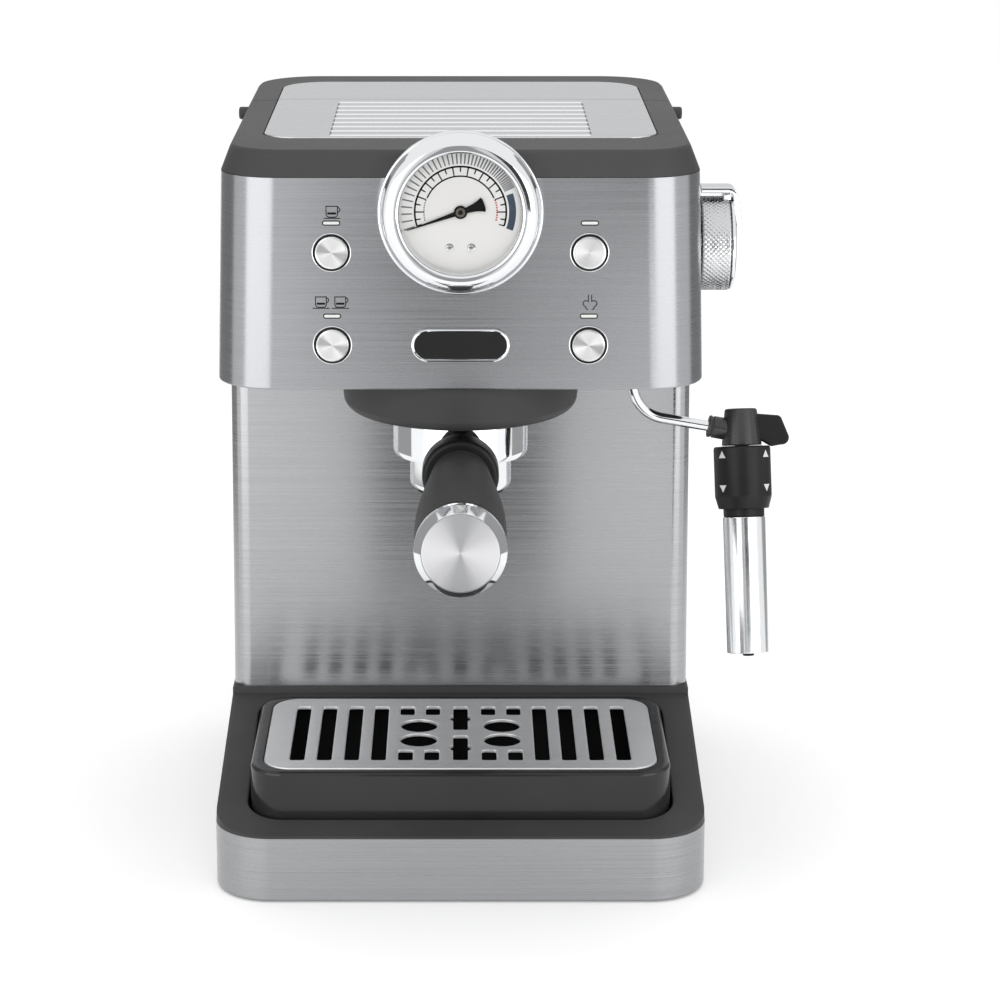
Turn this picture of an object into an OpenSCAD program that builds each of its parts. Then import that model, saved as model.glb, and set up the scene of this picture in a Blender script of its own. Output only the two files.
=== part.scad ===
// Slim pump espresso machine: steel shells over a moulded base, a dial on the
// head, a bayonet portafilter, a swivelling milk wand and a lift-out tank.
// Drawn with x = 0 on the middle plane, y = 0 at the front of the base and
// z = 0 on the table, then moved so that the box's bottom centre is the origin.

/* [Base] */
// Width of the base at its front
base_front_w = 206.8; // [202:0.2:210]
// Width of the base at its back
base_rear_w = 205.2; // [203:0.2:209]
// Depth of the body, without the handle and the lid hinge
body_d = 236; // [232:1:240]
// Top of the steel base band above the table
band_top = 28.5; // [26:0.5:32]
// Height of the deck at its front edge
deck_front_z = 29.5; // [28:0.5:33]
// Height of the ledge that the column stands on
deck_rear_z = 54.8; // [52:0.2:57]
// Radius of the base corners in plan
base_corner_r = 24; // [18:1:30]
// Height of the rubber feet
foot_h = 1; // [0.8:0.1:2]

/* [Column and head] */
// Depth of the column's steel face
column_y = 118; // [114:1:122]
// Depth of the wall between the works and the tank
bulkhead_y = 148.5; // [146:0.5:149]
// Half width of the column at the deck
column_half_low = 102.3; // [100:0.1:102.5]
// Half width of the column under the head
column_half_high = 101.2; // [99:0.1:102]
// Depth of the head's front face
head_y = 7; // [5:0.5:9]
// Underside of the head
head_low = 218.6; // [214:0.2:222]
// Top edge of the head's steel
head_high = 304.5; // [300:0.5:308]
// Half width of the head's lower front
head_half = 98.4; // [96:0.1:100]
// Radius of the head's front corners in plan
head_corner_r = 23; // [18:1:28]
// Thickness of the steel sheet
sheet_t = 1.5; // [1:0.1:2]
// Height of the cup warmer plate
top_z = 316; // [314:0.5:319]

/* [Cup warmer and lid] */
// Depth where the cup warmer plate starts
warmer_y = 41.6; // [38:0.2:46]
// Half width of the steel top plates
warmer_half = 80.2; // [76:0.2:84]
// Depth of the seam between the cup warmer and the tank lid
seam_y = 152; // [151.5:0.5:154]
// Number of ribs pressed in the cup warmer
rib_count = 9; // [6:1:12]
// Half length of the ribs
rib_half = 53.4; // [45:0.2:60]

/* [Drip tray] */
// Half width of the drip tray
tray_half = 88.8; // [85:0.2:90]
// Depth of the tray's front
tray_y = 15.2; // [14:0.2:17]
// Length of the tray, front to back
tray_d = 97.3; // [94:0.1:98]
// Height of the tray's rim
tray_top = 52; // [50:0.2:55]
// Half width of the steel grid
grid_half = 83.2; // [80:0.2:84]
// Width of the long slots in the grid
slot_w = 6.3; // [5:0.1:7]
// Length of the long slots in the grid
slot_len = 67.5; // [60:0.5:70]

/* [Brewing group] */
// Depth of the group's axis
group_y = 60; // [58:0.5:62]
// Underside of the dark group collar
collar_low = 199.3; // [198:0.1:201]
// Outer radius of the group collar at its foot
collar_foot_r = 44; // [42:0.5:46]
// Outer radius of the portafilter's ring
ring_r = 28.3; // [28:0.1:29]
// Outer radius of the portafilter's bowl
bowl_r = 21.3; // [20:0.1:24]
// Slope of the handle below level
handle_slope = 4; // [0:0.1:6]
// Distance from the group's axis to the front of the handle
handle_len = 136.8; // [126:0.1:142]
// Upward tilt of the end cap from the handle's line
cap_tilt = 10.4; // [0:0.2:12]
// Radius of the handle's end cap
cap_r = 17.9; // [16:0.1:19]

/* [Dial] */
// Height of the dial's centre
dial_z = 292.2; // [290:0.2:294]
// Outer radius of the dial's chrome bezel
bezel_r = 32.6; // [31:0.1:34]
// Radius of the opening in the bezel
opening_r = 23.9; // [23:0.1:25]

/* [Buttons] */
// Sideways distance of the buttons from the middle
button_x = 51.2; // [48:0.1:54]
// Height of the upper pair of buttons
button_high = 274.7; // [272:0.1:277]
// Height of the lower pair of buttons
button_low = 237.1; // [235:0.1:239]
// Radius of a button's face
button_r = 6.6; // [6:0.1:7]
// Height of an indicator above its button
lamp_rise = 11.8; // [11:0.1:13]

/* [Steam] */
// Depth of the steam knob's axis
knob_y = 60; // [56:1:64]
// Height of the steam knob's axis
knob_z = 268.6; // [264:0.2:272]
// Radius of the steam knob's drum
knob_r = 19.5; // [18:0.1:21]
// Sideways distance of the wand's pivot
wand_x = 71.5; // [70:0.5:74]
// Depth of the wand's pivot
wand_y = 45; // [42:1:48]
// Radius of the steel wand tube
wand_r = 2.2; // [2:0.1:2.5]
// Radius of the wand's bend
wand_bend = 15; // [12:0.5:16]
// Sideways distance of the frother's axis at its top
frother_x = 116.5; // [113:0.5:120]
// Height of the top of the frother's body
frother_z = 201.2; // [199:0.1:204]
// Outward lean of the frother
frother_lean = 1.8; // [0:0.1:4]
// Forward tilt of the frother's tip
frother_pitch = 15; // [8:1:18]
// Radius of the frother's chrome sleeve
sleeve_r = 8.8; // [8:0.1:9]
// Radius of the selector collar
selector_r = 11.8; // [11:0.1:12.5]

/* [Hidden] */
$fn = 64;

steel = "#b4b6b9";
chrome = "#d8dadd";
dark = "#464646";
black = "#262626";
rubber = "#303030";
eps = 0.01;

deck_clear = sheet_t + 0.1;
tray_gap = 1.3;
liner = 2.4;
pocket_z = 11;
ledge = 2.8;                    // step up from the deck to the column's foot
grid_t = 1.2;
grid_y = 20;
grid_d = 88;
tank_y = bulkhead_y + 4;
tank_rear = body_d - 2;
tank_top = head_high - 0.7;
lid_gap = 0.6;
hinge_y = body_d + 3;
hinge_z = head_high - 1;
hinge_r = 2.6;
pin_r = 1.2;
works_rear = bulkhead_y - 0.5;
axis_z = 182.2;                 // the handle's line at the group's axis
ring_low = 179.6;
ring_high = 208.2;
bowl_low = 165.3;
spout_h = 3.4;
lug_r = 33.8;
lug_low = 205.1;
leaf_r = 3;
leaf_x = 16.6;
leaf_drop = 12.6;
wand_turn = 80;                 // how far the tube bends from upright
wand_start = 212.3;
wand_end = [wand_x + wand_bend * (1 - cos(wand_turn)), wand_y, wand_start - wand_bend * sin(wand_turn)];
cap_len = 12.8;
cap_step = 2.8;                 // how much the cap narrows to its front face
cap_rise = cap_tilt - handle_slope;
grip_end = handle_len - cap_len;
tank_port = [0, 190];

// The box's sides, from the pieces that reach them.
left_x = -max(base_front_w, base_rear_w) / 2;
right_x = frother_x + leaf_x * cos(frother_lean) + leaf_drop * sin(frother_lean) + leaf_r;
front_y = group_y - grip_end * cos(handle_slope) - cap_len * cos(cap_rise)
    - (cap_r - cap_step) * abs(sin(cap_rise));
rear_y = hinge_y + hinge_r;
shift = [-(left_x + right_x) / 2, -(front_y + rear_y) / 2, 0];

// Moves a piece from the drawing's frame to the part's own.
module place() {
    translate(shift) children();
}

function arc(cx, cy, r, a0, a1, n = 8) =
    [for (i = [0:n]) [cx + r * cos(a0 + (a1 - a0) * i / n), cy + r * sin(a0 + (a1 - a0) * i / n)]];

// Plan of the body: straight front and back, sides that spread to the back.
function plan(half_f, half_r, y0, y1, rf, rr) = concat(
    arc(-half_f + rf, y0 + rf, rf, 180, 270),
    arc(half_f - rf, y0 + rf, rf, 270, 360),
    arc(half_r - rr, y1 - rr, rr, 0, 90),
    arc(-half_r + rr, y1 - rr, rr, 90, 180)
);

module prism(points, z0, z1) {
    translate([0, 0, z0]) linear_extrude(z1 - z0) polygon(points);
}

// Solid between one plan at z0 and another at z1.
module loft(low, z0, high, z1) {
    hull() {
        prism(low, z0, z0 + eps);
        prism(high, z1 - eps, z1);
    }
}

module slab(half, y0, y1, z0, z1) {
    translate([-half, y0, z0]) cube([2 * half, y1 - y0, z1 - z0]);
}

module rod_y(r, y0, y1, x = 0, z = 0) {
    translate([x, y0, z]) rotate([-90, 0, 0]) cylinder(r = r, h = y1 - y0);
}

module rod_x(r, x0, x1, y = 0, z = 0) {
    translate([x0, y, z]) rotate([0, 90, 0]) cylinder(r = r, h = x1 - x0);
}

module rod_z(r, z0, z1, x = 0, y = 0) {
    translate([x, y, z0]) cylinder(r = r, h = z1 - z0);
}

module ring_z(r_out, r_in, z0, z1) {
    difference() {
        rod_z(r_out, z0, z1);
        rod_z(r_in, z0 - 1, z1 + 1);
    }
}

module ring_y(r_out, r_in, y0, y1, x = 0, z = 0) {
    difference() {
        rod_y(r_out, y0, y1, x, z);
        rod_y(r_in, y0 - 1, y1 + 1, x, z);
    }
}

// Flat bar with round ends, through the thickness along y.
module stadium_y(w, h, y0, y1, x, z) {
    translate([x - w / 2 + h / 2, y0, z - h / 2]) cube([w - h, y1 - y0, h]);
    for (s = [-1, 1]) rod_y(h / 2, y0, y1, x + s * (w - h) / 2, z);
}

// Flat bar with round ends, through the thickness along z.
module stadium_z(w, l, z0, z1, x, y) {
    translate([x - w / 2, y - l / 2 + w / 2, z0]) cube([w, l - w, z1 - z0]);
    for (s = [-1, 1]) rod_z(w / 2, z0, z1, x, y + s * (l - w) / 2);
}

module at_group() {
    translate([0, group_y, 0]) children();
}

// Along the handle: +z runs out from the group's axis to the front.
module along_handle() {
    translate([0, group_y, axis_z]) rotate([90 + handle_slope, 0, 0]) children();
}

// Along the end cap: +z runs out of its back face, tilted up from the handle.
module along_cap() {
    along_handle() translate([0, 0, grip_end]) rotate([-cap_tilt, 0, 0]) children();
}

// Along the sloping end of the wand's tube: +z runs out from the bend.
module along_wand() {
    translate(wand_end) rotate([0, 180 - wand_turn, 0]) children();
}

// Along the frother: z = 0 at the top of its body, -z down to the tip.
module along_frother() {
    translate([frother_x, wand_y + 2, frother_z]) rotate([-frother_pitch, 0, 0])
        rotate([0, -frother_lean, 0]) children();
}

// Hose of straight runs with round joints, through the listed points.
module pipe(points, r) {
    for (i = [0:len(points) - 2]) hull() for (k = [0, 1]) translate(points[i + k]) sphere(r = r, $fn = 10);
}

// ---- base ----

function base_plan(inset) = plan(base_front_w / 2 - inset, base_rear_w / 2 - inset,
    inset, body_d - inset, base_corner_r - inset, base_corner_r - inset);

// The deck's side view, lowered by drop: it climbs from the front lip to the column.
function deck_side(drop) = [
    [-5, pocket_z - 6], [-5, deck_front_z - drop], [2, deck_front_z - drop],
    [column_y - 1.6, deck_rear_z - ledge - drop], [column_y - 1.2, deck_rear_z - drop],
    [body_d + 5, deck_rear_z - drop], [body_d + 5, pocket_z - 6],
];

module deck_block(inset, drop, z0 = pocket_z - 5) {
    intersection() {
        prism(base_plan(inset), z0, deck_rear_z + 5);
        rotate([90, 0, 90]) translate([0, 0, -150]) linear_extrude(300) polygon(deck_side(drop));
    }
}

function pocket_plan(grow) = plan(tray_half + grow, tray_half + grow, tray_y - grow,
    tray_y + tray_d + grow, 14 + grow, 14 + grow);

module base_band() {
    color(steel) place() difference() {
        prism(base_plan(0), foot_h, band_top);
        prism(base_plan(sheet_t), foot_h - 1, band_top + 1);
        rod_y(6.05, body_d - 5, body_d + 5, -60, 17);
    }
}

module base_deck() {
    skin = 3;
    color(dark) place() difference() {
        union() {
            difference() {
                deck_block(deck_clear, 0, band_top - 5);
                deck_block(deck_clear + skin, skin);
            }
            // overhang that covers the band's top edge
            intersection() {
                deck_block(0.1, 0);
                prism(base_plan(0.1), band_top + 0.05, deck_rear_z + 5);
                difference() {
                    prism(base_plan(0), 0, 90);
                    prism(base_plan(deck_clear + 2), 0, 90);
                }
            }
            rod_z(10, deck_rear_z - 10, deck_rear_z, tank_port[0], tank_port[1]);
        }
        prism(pocket_plan(tray_gap + liner + 0.02), 0, 90);
        rod_z(7.05, deck_rear_z - 12, deck_rear_z + 1, tank_port[0], tank_port[1]);
        rod_z(4.5, deck_rear_z - 8, deck_rear_z + 1, -80, 134);
        rod_z(6, deck_rear_z - 8, deck_rear_z + 1, -45, 134);
        rod_y(6.05, body_d - 9, body_d + 5, -60, 17);
    }
}

// Liner of the tray's pocket, flush with the deck.
module tray_well() {
    color(dark) place() difference() {
        intersection() {
            deck_block(deck_clear, 0);
            prism(pocket_plan(tray_gap + liner), pocket_z - liner, 90);
        }
        prism(pocket_plan(tray_gap), pocket_z, 90);
    }
}

module base_plate() {
    color(black) place() difference() {
        prism(base_plan(sheet_t + 0.1), foot_h + 0.2, foot_h + 2.9);
        for (x = [-70, 70], y = [40, 196]) rod_z(2.1, 0, 9, x, y);
        for (i = [-4:4]) stadium_z(3, 26, 0, 9, i * 8, 150);
    }
}

module feet() {
    color(rubber) place()
        for (x = [-82, 82], y = [24, 212])
            translate([x, y, 0]) cylinder(r1 = 8.4, r2 = 9, h = foot_h + 0.2);
}

module base_screws() {
    color(chrome) place() for (x = [-70, 70], y = [40, 196]) difference() {
        union() {
            rod_z(3.6, 0.3, foot_h + 0.2, x, y);
            rod_z(2, foot_h + 0.2, foot_h + 6.4, x, y);
        }
        translate([x, y, 0.3]) cube([4, 0.8, 0.8], center = true);
        translate([x, y, 0.3]) cube([0.8, 4, 0.8], center = true);
    }
}

module cord_inlet() {
    color(black) place() difference() {
        union() {
            rod_y(6, body_d - 12, body_d + 1, -60, 17);
            rod_y(8.5, body_d, body_d + 2.5, -60, 17);
        }
        rod_y(3.4, body_d - 20, body_d + 9, -60, 17);
    }
}

// ---- column and head ----

module column_panel() {
    low = plan(column_half_low, column_half_low, column_y, bulkhead_y + 20, 8, 2);
    high = plan(column_half_high, column_half_high, column_y, bulkhead_y + 20, 8, 2);
    low_in = plan(column_half_low - sheet_t, column_half_low - sheet_t,
        column_y + sheet_t, bulkhead_y + 30, 8 - sheet_t, 2);
    high_in = plan(column_half_high - sheet_t, column_half_high - sheet_t,
        column_y + sheet_t, bulkhead_y + 30, 8 - sheet_t, 2);
    color(steel) place() difference() {
        loft(low, deck_rear_z, high, head_low);
        loft(low_in, deck_rear_z - 1, high_in, head_low + 1);
        slab(130, bulkhead_y, 300, 0, 400);
    }
}

function wall_plan(half) = plan(half, half, bulkhead_y + 0.05, bulkhead_y + 3, 1, 1);

module rear_housing() {
    color(dark) place() difference() {
        union() {
            loft(wall_plan(column_half_low), deck_rear_z, wall_plan(97.4), head_high - 0.6);
            slab(60, bulkhead_y - 12, bulkhead_y + 1, deck_rear_z + 0.05, deck_rear_z + 2.5);
        }
        rod_z(4.5, deck_rear_z - 5, deck_rear_z + 9, -80, 134);
        rod_z(6, deck_rear_z - 5, deck_rear_z + 9, -45, 134);
        for (i = [0:5]) stadium_y(60, 3, bulkhead_y - 2, bulkhead_y + 9, 50, 70 + i * 8);
    }
}

function head_plan_low(inset) = plan(head_half - inset, column_half_high - inset,
    head_y + inset, seam_y + 40 + inset, head_corner_r - inset, 4);
function head_plan_high(inset) = plan(head_half - 2.4 - inset, 97.6 - inset,
    head_y + inset, seam_y + 40 + inset, head_corner_r - inset, 4);

// Cuts everything behind the head's rear edge.
module behind(y) {
    slab(150, y, 600, -10, 600);
}

module head_shell() {
    color(steel) place() difference() {
        loft(head_plan_low(0), head_low, head_plan_high(0), head_high);
        loft(head_plan_low(sheet_t), head_low - 1, head_plan_high(sheet_t), head_high + 1);
        behind(bulkhead_y);
        rod_y(barrel_r + 0.1, -10, 60, 0, dial_z);
        for (x = [-button_x, button_x], z = [button_low, button_high]) {
            rod_y(7.42, 0, 20, x, z);
            stadium_y(7.3, 2.1, 0, 20, x, z + lamp_rise);
        }
        for (x = [-14, 14]) rod_y(1.2, 0, 20, x, button_low);
        rod_x(4, 80, 120, knob_y, knob_z);
    }
}

module head_floor() {
    color(dark) place() difference() {
        prism(plan(head_half - sheet_t - 0.2, head_half - 0.4, head_y + sheet_t + 0.1,
            column_y - 0.1, head_corner_r - 1, 1), head_low + 0.4, head_low + 3);
        at_group() rod_z(41.2, 0, 400);
        rod_z(6.05, 0, 400, wand_x, wand_y);
    }
}

// The dark top moulding, over the whole body; split at the seam.
module crown(inset, drop) {
    rim_low = plan(head_half - 2.4 - inset, 97.6 - inset, head_y + inset, body_d - inset, 23, 30);
    rim_edge = plan(92.4 - inset, 92.4 - inset, head_y + 2.6 + inset, body_d - 0.8 - inset, 21, 28);
    rim_top = plan(91.2 - inset, 91.2 - inset, head_y + 3.8 + inset, body_d - 2 - inset, 20, 27);
    hull() {
        prism(rim_low, head_high + 0.05 - drop, head_high + 0.1);
        prism(rim_edge, top_z - 2 - drop, top_z - 1.9 - drop);
        prism(rim_top, top_z - 0.9 - drop, top_z - 0.8 - drop);
    }
}

function warmer_plan(grow) = plan(warmer_half + grow, warmer_half + grow, warmer_y - grow,
    body_d - 25 + grow, 13 + grow, 20 + grow);

module crown_shell() {
    difference() {
        crown(0, 0);
        crown(2.6, 2.6);
        prism(warmer_plan(0.1), top_z - 1.6, top_z + 5);
        prism(warmer_plan(-3), top_z - 9, top_z + 5);
    }
}

module top_rim() {
    color(dark) place() difference() {
        union() {
            crown_shell();
            // wall that closes the works below the seam
            intersection() {
                crown(1, 1);
                slab(99, seam_y - 2.5, seam_y, head_high + 0.1, top_z - 2.4);
            }
        }
        behind(seam_y);
        rod_y(barrel_r + 0.1, -10, 45, 0, dial_z);
    }
}

module warmer_sheet(y0, y1) {
    intersection() {
        prism(warmer_plan(0), top_z - 1.6, top_z - 0.4);
        slab(150, y0, y1, 0, 500);
    }
}

module cup_warmer_plate() {
    pitch = (seam_y - warmer_y - 14.7) / (rib_count - 1);
    color(steel) place() {
        warmer_sheet(0, seam_y);
        intersection() {
            for (i = [0:rib_count - 1]) translate([-rib_half, warmer_y + 4.2 + i * pitch, top_z - 1.1])
                rotate([0, 90, 0]) cylinder(r = 1.1, h = 2 * rib_half, $fn = 24);
            slab(rib_half, 0, seam_y, top_z - 0.5, top_z);
        }
    }
}

// ---- front of the head ----

module badge_plate() {
    color(chrome) place() {
        stadium_y(39.4, 13.5, head_y - 1.6, head_y - 0.05, 0, button_low);
        for (x = [-14, 14]) rod_y(1.1, head_y - 0.5, head_y + 3, x, button_low);
    }
}

barrel_r = 18;

module gauge_housing() {
    flange_r = bezel_r - 3;
    color(dark) place() difference() {
        union() {
            rod_y(flange_r, 0.6, 6.6, 0, dial_z);
            rod_y(barrel_r, 6.5, 27, 0, dial_z);
        }
        rod_y(flange_r - 1.6, -1, 5, 0, dial_z);
        rod_y(barrel_r - 2, 4, 24, 0, dial_z);
        rod_y(2.5, 20, 30, 0, dial_z);
    }
}

// The chrome ring: a rounded crest, and an outer wall that narrows to the head.
module gauge_bezel() {
    back = -head_y + 0.3;
    color(chrome) place() translate([0, 0, dial_z]) rotate([90, 0, 0]) rotate_extrude($fn = 128)
        polygon(concat(
            [[opening_r, 1.9], [opening_r, 3.4]],
            arc(opening_r + 4.6, 3.6, 4.4, 165, 30, 10),
            [[bezel_r - 1.2, 3.4], [bezel_r, 1.6], [bezel_r - 1.3, back]],
            [[bezel_r - 2.85, back], [bezel_r - 1.55, 0.2], [opening_r + 1.6, 0.2], [opening_r + 1.6, 1.9]]
        ));
}

module gauge_dial() {
    color("#eceae4") place() difference() {
        union() {
            rod_y(opening_r + 1.5, -0.2, 1, 0, dial_z);
            rod_y(5, 1, 23.9, 0, dial_z);
        }
        rod_y(0.85, -5, 20, 0, dial_z);
        for (s = [-1, 1]) rod_y(0.8, -5, 0.9, s * 4.3, dial_z - 14.2);
    }
}

module gauge_glass() {
    color("#dfe8ea", 0.3) place() rod_y(opening_r - 0.03, -3.2, -2.25, 0, dial_z);
}

module dial_screws() {
    color(steel) place() for (s = [-1, 1]) {
        rod_y(1.65, -0.8, -0.22, s * 4.3, dial_z - 14.2);
        rod_y(0.75, -0.3, 0.85, s * 4.3, dial_z - 14.2);
    }
}

module gauge_needle() {
    needle_tip = 22;
    tail = 9.8;
    color(black) place() {
        translate([0, 0, dial_z]) rotate([0, -19, 0]) {
            rotate([90, 0, 0]) translate([0, 0, 0.85]) linear_extrude(0.5)
                polygon([[-needle_tip, 0], [0, 0.9], [tail, 2.6], [tail, -2.6], [0, -0.9]]);
        }
        rod_y(2.6, -1.7, -0.6, 0, dial_z);
        rod_y(0.8, -1, 8, 0, dial_z);
    }
}

module button_rings() {
    color(chrome) place() for (x = [-button_x, button_x], z = [button_low, button_high]) {
        ring_y(7.95, button_r + 0.65, head_y - 0.7, head_y - 0.02, x, z);
        ring_y(7.4, button_r + 0.4, head_y - 0.1, head_y + 3, x, z);
    }
}

module indicator_lenses() {
    color("#f2f2ee") place()
        for (x = [-button_x, button_x], z = [button_low, button_high])
            stadium_y(7.2, 2, head_y - 0.15, head_y + 2.2, x, z + lamp_rise);
}

module push_button(x, z) {
    color(steel) place() {
        rod_y(button_r - 0.4, head_y - 1.5, head_y - 1, x, z);
        rod_y(button_r, head_y - 1.1, head_y + 4.5, x, z);
        rod_y(2, head_y + 4.4, head_y + 8.4, x, z);
    }
}

module button_single() { push_button(-button_x, button_high); }
module button_double() { push_button(-button_x, button_low); }
module button_power() { push_button(button_x, button_high); }
module button_steam() { push_button(button_x, button_low); }

module control_board() {
    board_y = head_y + 12.5;
    color("#2f6b3c") place() {
        difference() {
            slab(76, board_y, board_y + 1.6, 225, 288);
            rod_y(bezel_r + 1.5, 0, 60, 0, dial_z);
        }
        for (x = [-button_x, button_x], z = [button_low, button_high])
            translate([x - 3, board_y - 2.4, z - 3]) cube([6, 2.41, 6]);
        slab(22, board_y + 1.59, board_y + 5, 227, 238.5);
    }
}

// ---- brewing group ----

module group_collar() {
    color(dark) place() at_group() rotate_extrude($fn = 128) polygon(concat(
        [[36, collar_low], [collar_foot_r - 5, collar_low]],
        arc(collar_foot_r - 1, collar_low + 6, 6, 280, 345, 8),
        [[50.4, head_low + 0.35], [41.05, head_low + 0.35]],
        [[41.05, collar_low + 3.8], [36, collar_low + 3.8]]
    ));
}

// Two ramps under the portafilter's lugs, with gaps where the lugs come up.
module bayonet_ramps(z0, z1) {
    difference() {
        ring_z(36, 30, z0, z1);
        for (a = [-75, 105]) rotate([0, 0, a]) translate([0, 0, z0 - 1])
            linear_extrude(z1 - z0 + 2) polygon([[0, 0], [60, -26], [60, 26]]);
    }
}

module group_head() {
    color("#a7a9ac") place() at_group() {
        difference() {
            rod_z(41, collar_low + 3.9, head_low + 3.6);
            rod_z(34.9, collar_low, 213.9);
            rod_z(3, 200, 240);
        }
        bayonet_ramps(collar_low + 3.9, lug_low - 0.1);
    }
}

module group_gasket() {
    color(rubber) place() at_group() ring_z(34.8, 27, 209.3, 213.88);
}

module shower_screen() {
    color(steel) place() at_group() {
        difference() {
            rod_z(26.4, 211.4, 212.6);
            for (k = [1:3], i = [0:k * 6 - 1])
                rotate([0, 0, i * 60 / k]) rod_z(0.9, 200, 220, k * 6.6, 0, $fn = 16);
        }
        rod_z(3.8, 210.2, 211.5);
        rod_z(2.9, 211.4, 220);
    }
}

module boiler() {
    color("#c4c6c8") place() at_group() {
        rod_z(33, head_low + 3.65, 262);
        rod_z(37, 240, 244);
        for (a = [0:60:300]) rotate([0, 0, a]) rod_z(2.4, 243.9, 250, 35, 0);
        rod_z(6, 261.9, 270);
    }
}

module pump() {
    color("#7d8085") place() {
        rod_x(19, -58, 22, 125, 262);
        rod_x(9, -66, -57.9, 125, 262);
        rod_x(7, 21.9, 34, 125, 262);
        translate([-36, 108, 262]) cube([38, 34, 23]);
    }
}

module pump_mounts() {
    foot_y = column_y - 10;
    color(rubber) place() for (x = [-53, 12]) difference() {
        union() {
            rod_x(21.5, x, x + 6, 125, 262);
            translate([x, foot_y, head_low + 3.02]) cube([6, 9.8, 28]);
        }
        rod_x(19.02, x - 1, x + 7, 125, 262);
        translate([x - 1, 104, 262]) cube([8, 42, 30]);
    }
}

module hoses() {
    color("#d9d6cc") place() {
        pipe([[tank_port[0], tank_port[1], 43], [tank_port[0], tank_port[1], 30], [-60, 160, 30],
              [-80, 134, 36], [-80, 134, 240], [-80, 125, 262], [-69.1, 125, 262]], 3);
        pipe([[36.7, 125, 262], [48, 120, 262], [50, 80, 255], [35.3, 66, 250]], 2.6);
        pipe([[0, group_y, 272.3], [0, group_y, 277], [46, group_y, 277], [56.7, group_y, knob_z]], 2.2);
        pipe([[wand_x, knob_y, 256.6], [wand_x, 50, 250], [wand_x, wand_y, 242.3]], 2.2);
    }
}

module tank_socket() {
    color(rubber) place() translate([tank_port[0], tank_port[1], 0]) difference() {
        rod_z(7, 40, deck_rear_z - 0.3);
        rod_z(4, 39, deck_rear_z + 1);
    }
}

// ---- steam ----

module steam_valve() {
    color("#b08d57") place() {
        difference() {
            union() {
                rod_x(9, 59, 84, knob_y, knob_z);
                rod_x(11, 80, 84, knob_y, knob_z, $fn = 6);
            }
            rod_x(3.06, 68, 90, knob_y, knob_z);
        }
        rod_z(3.2, 258.9, knob_z - 6, wand_x, knob_y);
        translate([60, knob_y - 10, head_low + 3.02]) difference() {
            cube([4, 20, 50]);
            translate([-1, 10, knob_z - head_low - 3.02]) rotate([0, 90, 0]) cylinder(r = 3.2, h = 9);
        }
    }
}

module wand_gland() {
    color(black) place() translate([wand_x, wand_y, 0]) difference() {
        union() {
            rod_z(6, head_low - 2.6, 240);
            rod_z(7.6, head_low - 2.6, head_low + 0.35);
        }
        rod_z(wand_r + 0.05, 200, 236);
        rod_z(1.2, 230, 250);
    }
}

body_low = -15.4;
neck_low = -44.9;
sleeve_low = -101.5;
knob_in = 98.6;
knob_out = 111;

module steam_knob() {
    color(steel) place() {
        difference() {
            rod_x(knob_r, knob_in, knob_out, knob_y, knob_z);
            rod_x(knob_r - 2.5, knob_in - 1, knob_out - 3, knob_y, knob_z);
        }
        rod_x(5, knob_in + 1.4, knob_out - 1, knob_y, knob_z);
        rod_x(3, 70, knob_in + 3, knob_y, knob_z);
    }
}

module knob_cap() {
    lever_w = 11;
    color(chrome) place() translate([0, knob_y, knob_z]) {
        rotate([0, 90, 0]) rotate_extrude($fn = 96) polygon(concat(
            [[0, knob_out + 0.02], [knob_r - 0.3, knob_out + 0.02]],
            arc(knob_r - 1.6, knob_out + 1.1, 1.3, 0, 70, 5),
            [[0, knob_out + 2.6]]
        ));
        // lever: a strip over the drum that bends down across the cap
        translate([knob_in + 0.2, -lever_w / 2, knob_r + 2.2]) cube([14.6, lever_w, 2.4]);
        translate([knob_out + 1.4, -lever_w / 2, knob_r - 12]) cube([2.4, lever_w, 16.6]);
        translate([knob_out - 3, -lever_w / 2, knob_r + 0.02]) cube([4, lever_w, 2.5]);
    }
}

module wand_tube() {
    color(chrome) place() {
        rod_z(wand_r, wand_start, 235.5, wand_x, wand_y, $fn = 32);
        translate([wand_x + wand_bend, wand_y, wand_start]) rotate([90, 0, 0]) rotate([0, 0, 180])
            rotate_extrude(angle = wand_turn, $fn = 96) translate([wand_bend, 0])
                circle(r = wand_r, $fn = 32);
        along_wand() cylinder(r = wand_r, h = 22.6, $fn = 32);
    }
}

module wand_elbow() {
    color(dark) place() difference() {
        union() {
            along_frother() translate([0, 0, body_low]) cylinder(r1 = 8.3, r2 = 6.7, h = -body_low);
            along_wand() translate([0, 0, 19.3]) cylinder(r = 4.6, h = 9);
            // finger tab
            along_frother() rotate([90, 0, 0]) translate([0, 0, -2]) linear_extrude(4) polygon(concat(
                [[5, -2.2], [5, -11.8]],
                arc(12.8, -leaf_drop - 0.4, 2.2, -118, -98, 2),
                arc(leaf_x, -leaf_drop, leaf_r, -98, 11, 8),
                arc(14.6, -5.6, 2.4, 11, 94, 6)
            ));
        }
        along_wand() translate([0, 0, 18]) cylinder(r = wand_r + 0.25, h = 5);
        along_frother() translate([0, 0, body_low - 1]) cylinder(r = 3.1, h = 5.6);
    }
}

module frother_core() {
    color(black) place() along_frother() difference() {
        union() {
            translate([0, 0, neck_low]) cylinder(r = 8.5, h = body_low - 0.05 - neck_low);
            translate([0, 0, neck_low - 14]) cylinder(r = 7.6, h = 15);
            translate([0, 0, body_low - 0.1]) cylinder(r = 3, h = 4.5);
        }
        translate([0, 0, neck_low - 20]) cylinder(r = 2.42, h = 45);
    }
}

module steam_nozzle() {
    color(black) place() along_frother() difference() {
        translate([0, 0, sleeve_low - 1.4]) cylinder(r = 2.4, h = 82);
        translate([0, 0, sleeve_low - 3]) cylinder(r = 0.9, h = 80);
    }
}

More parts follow.
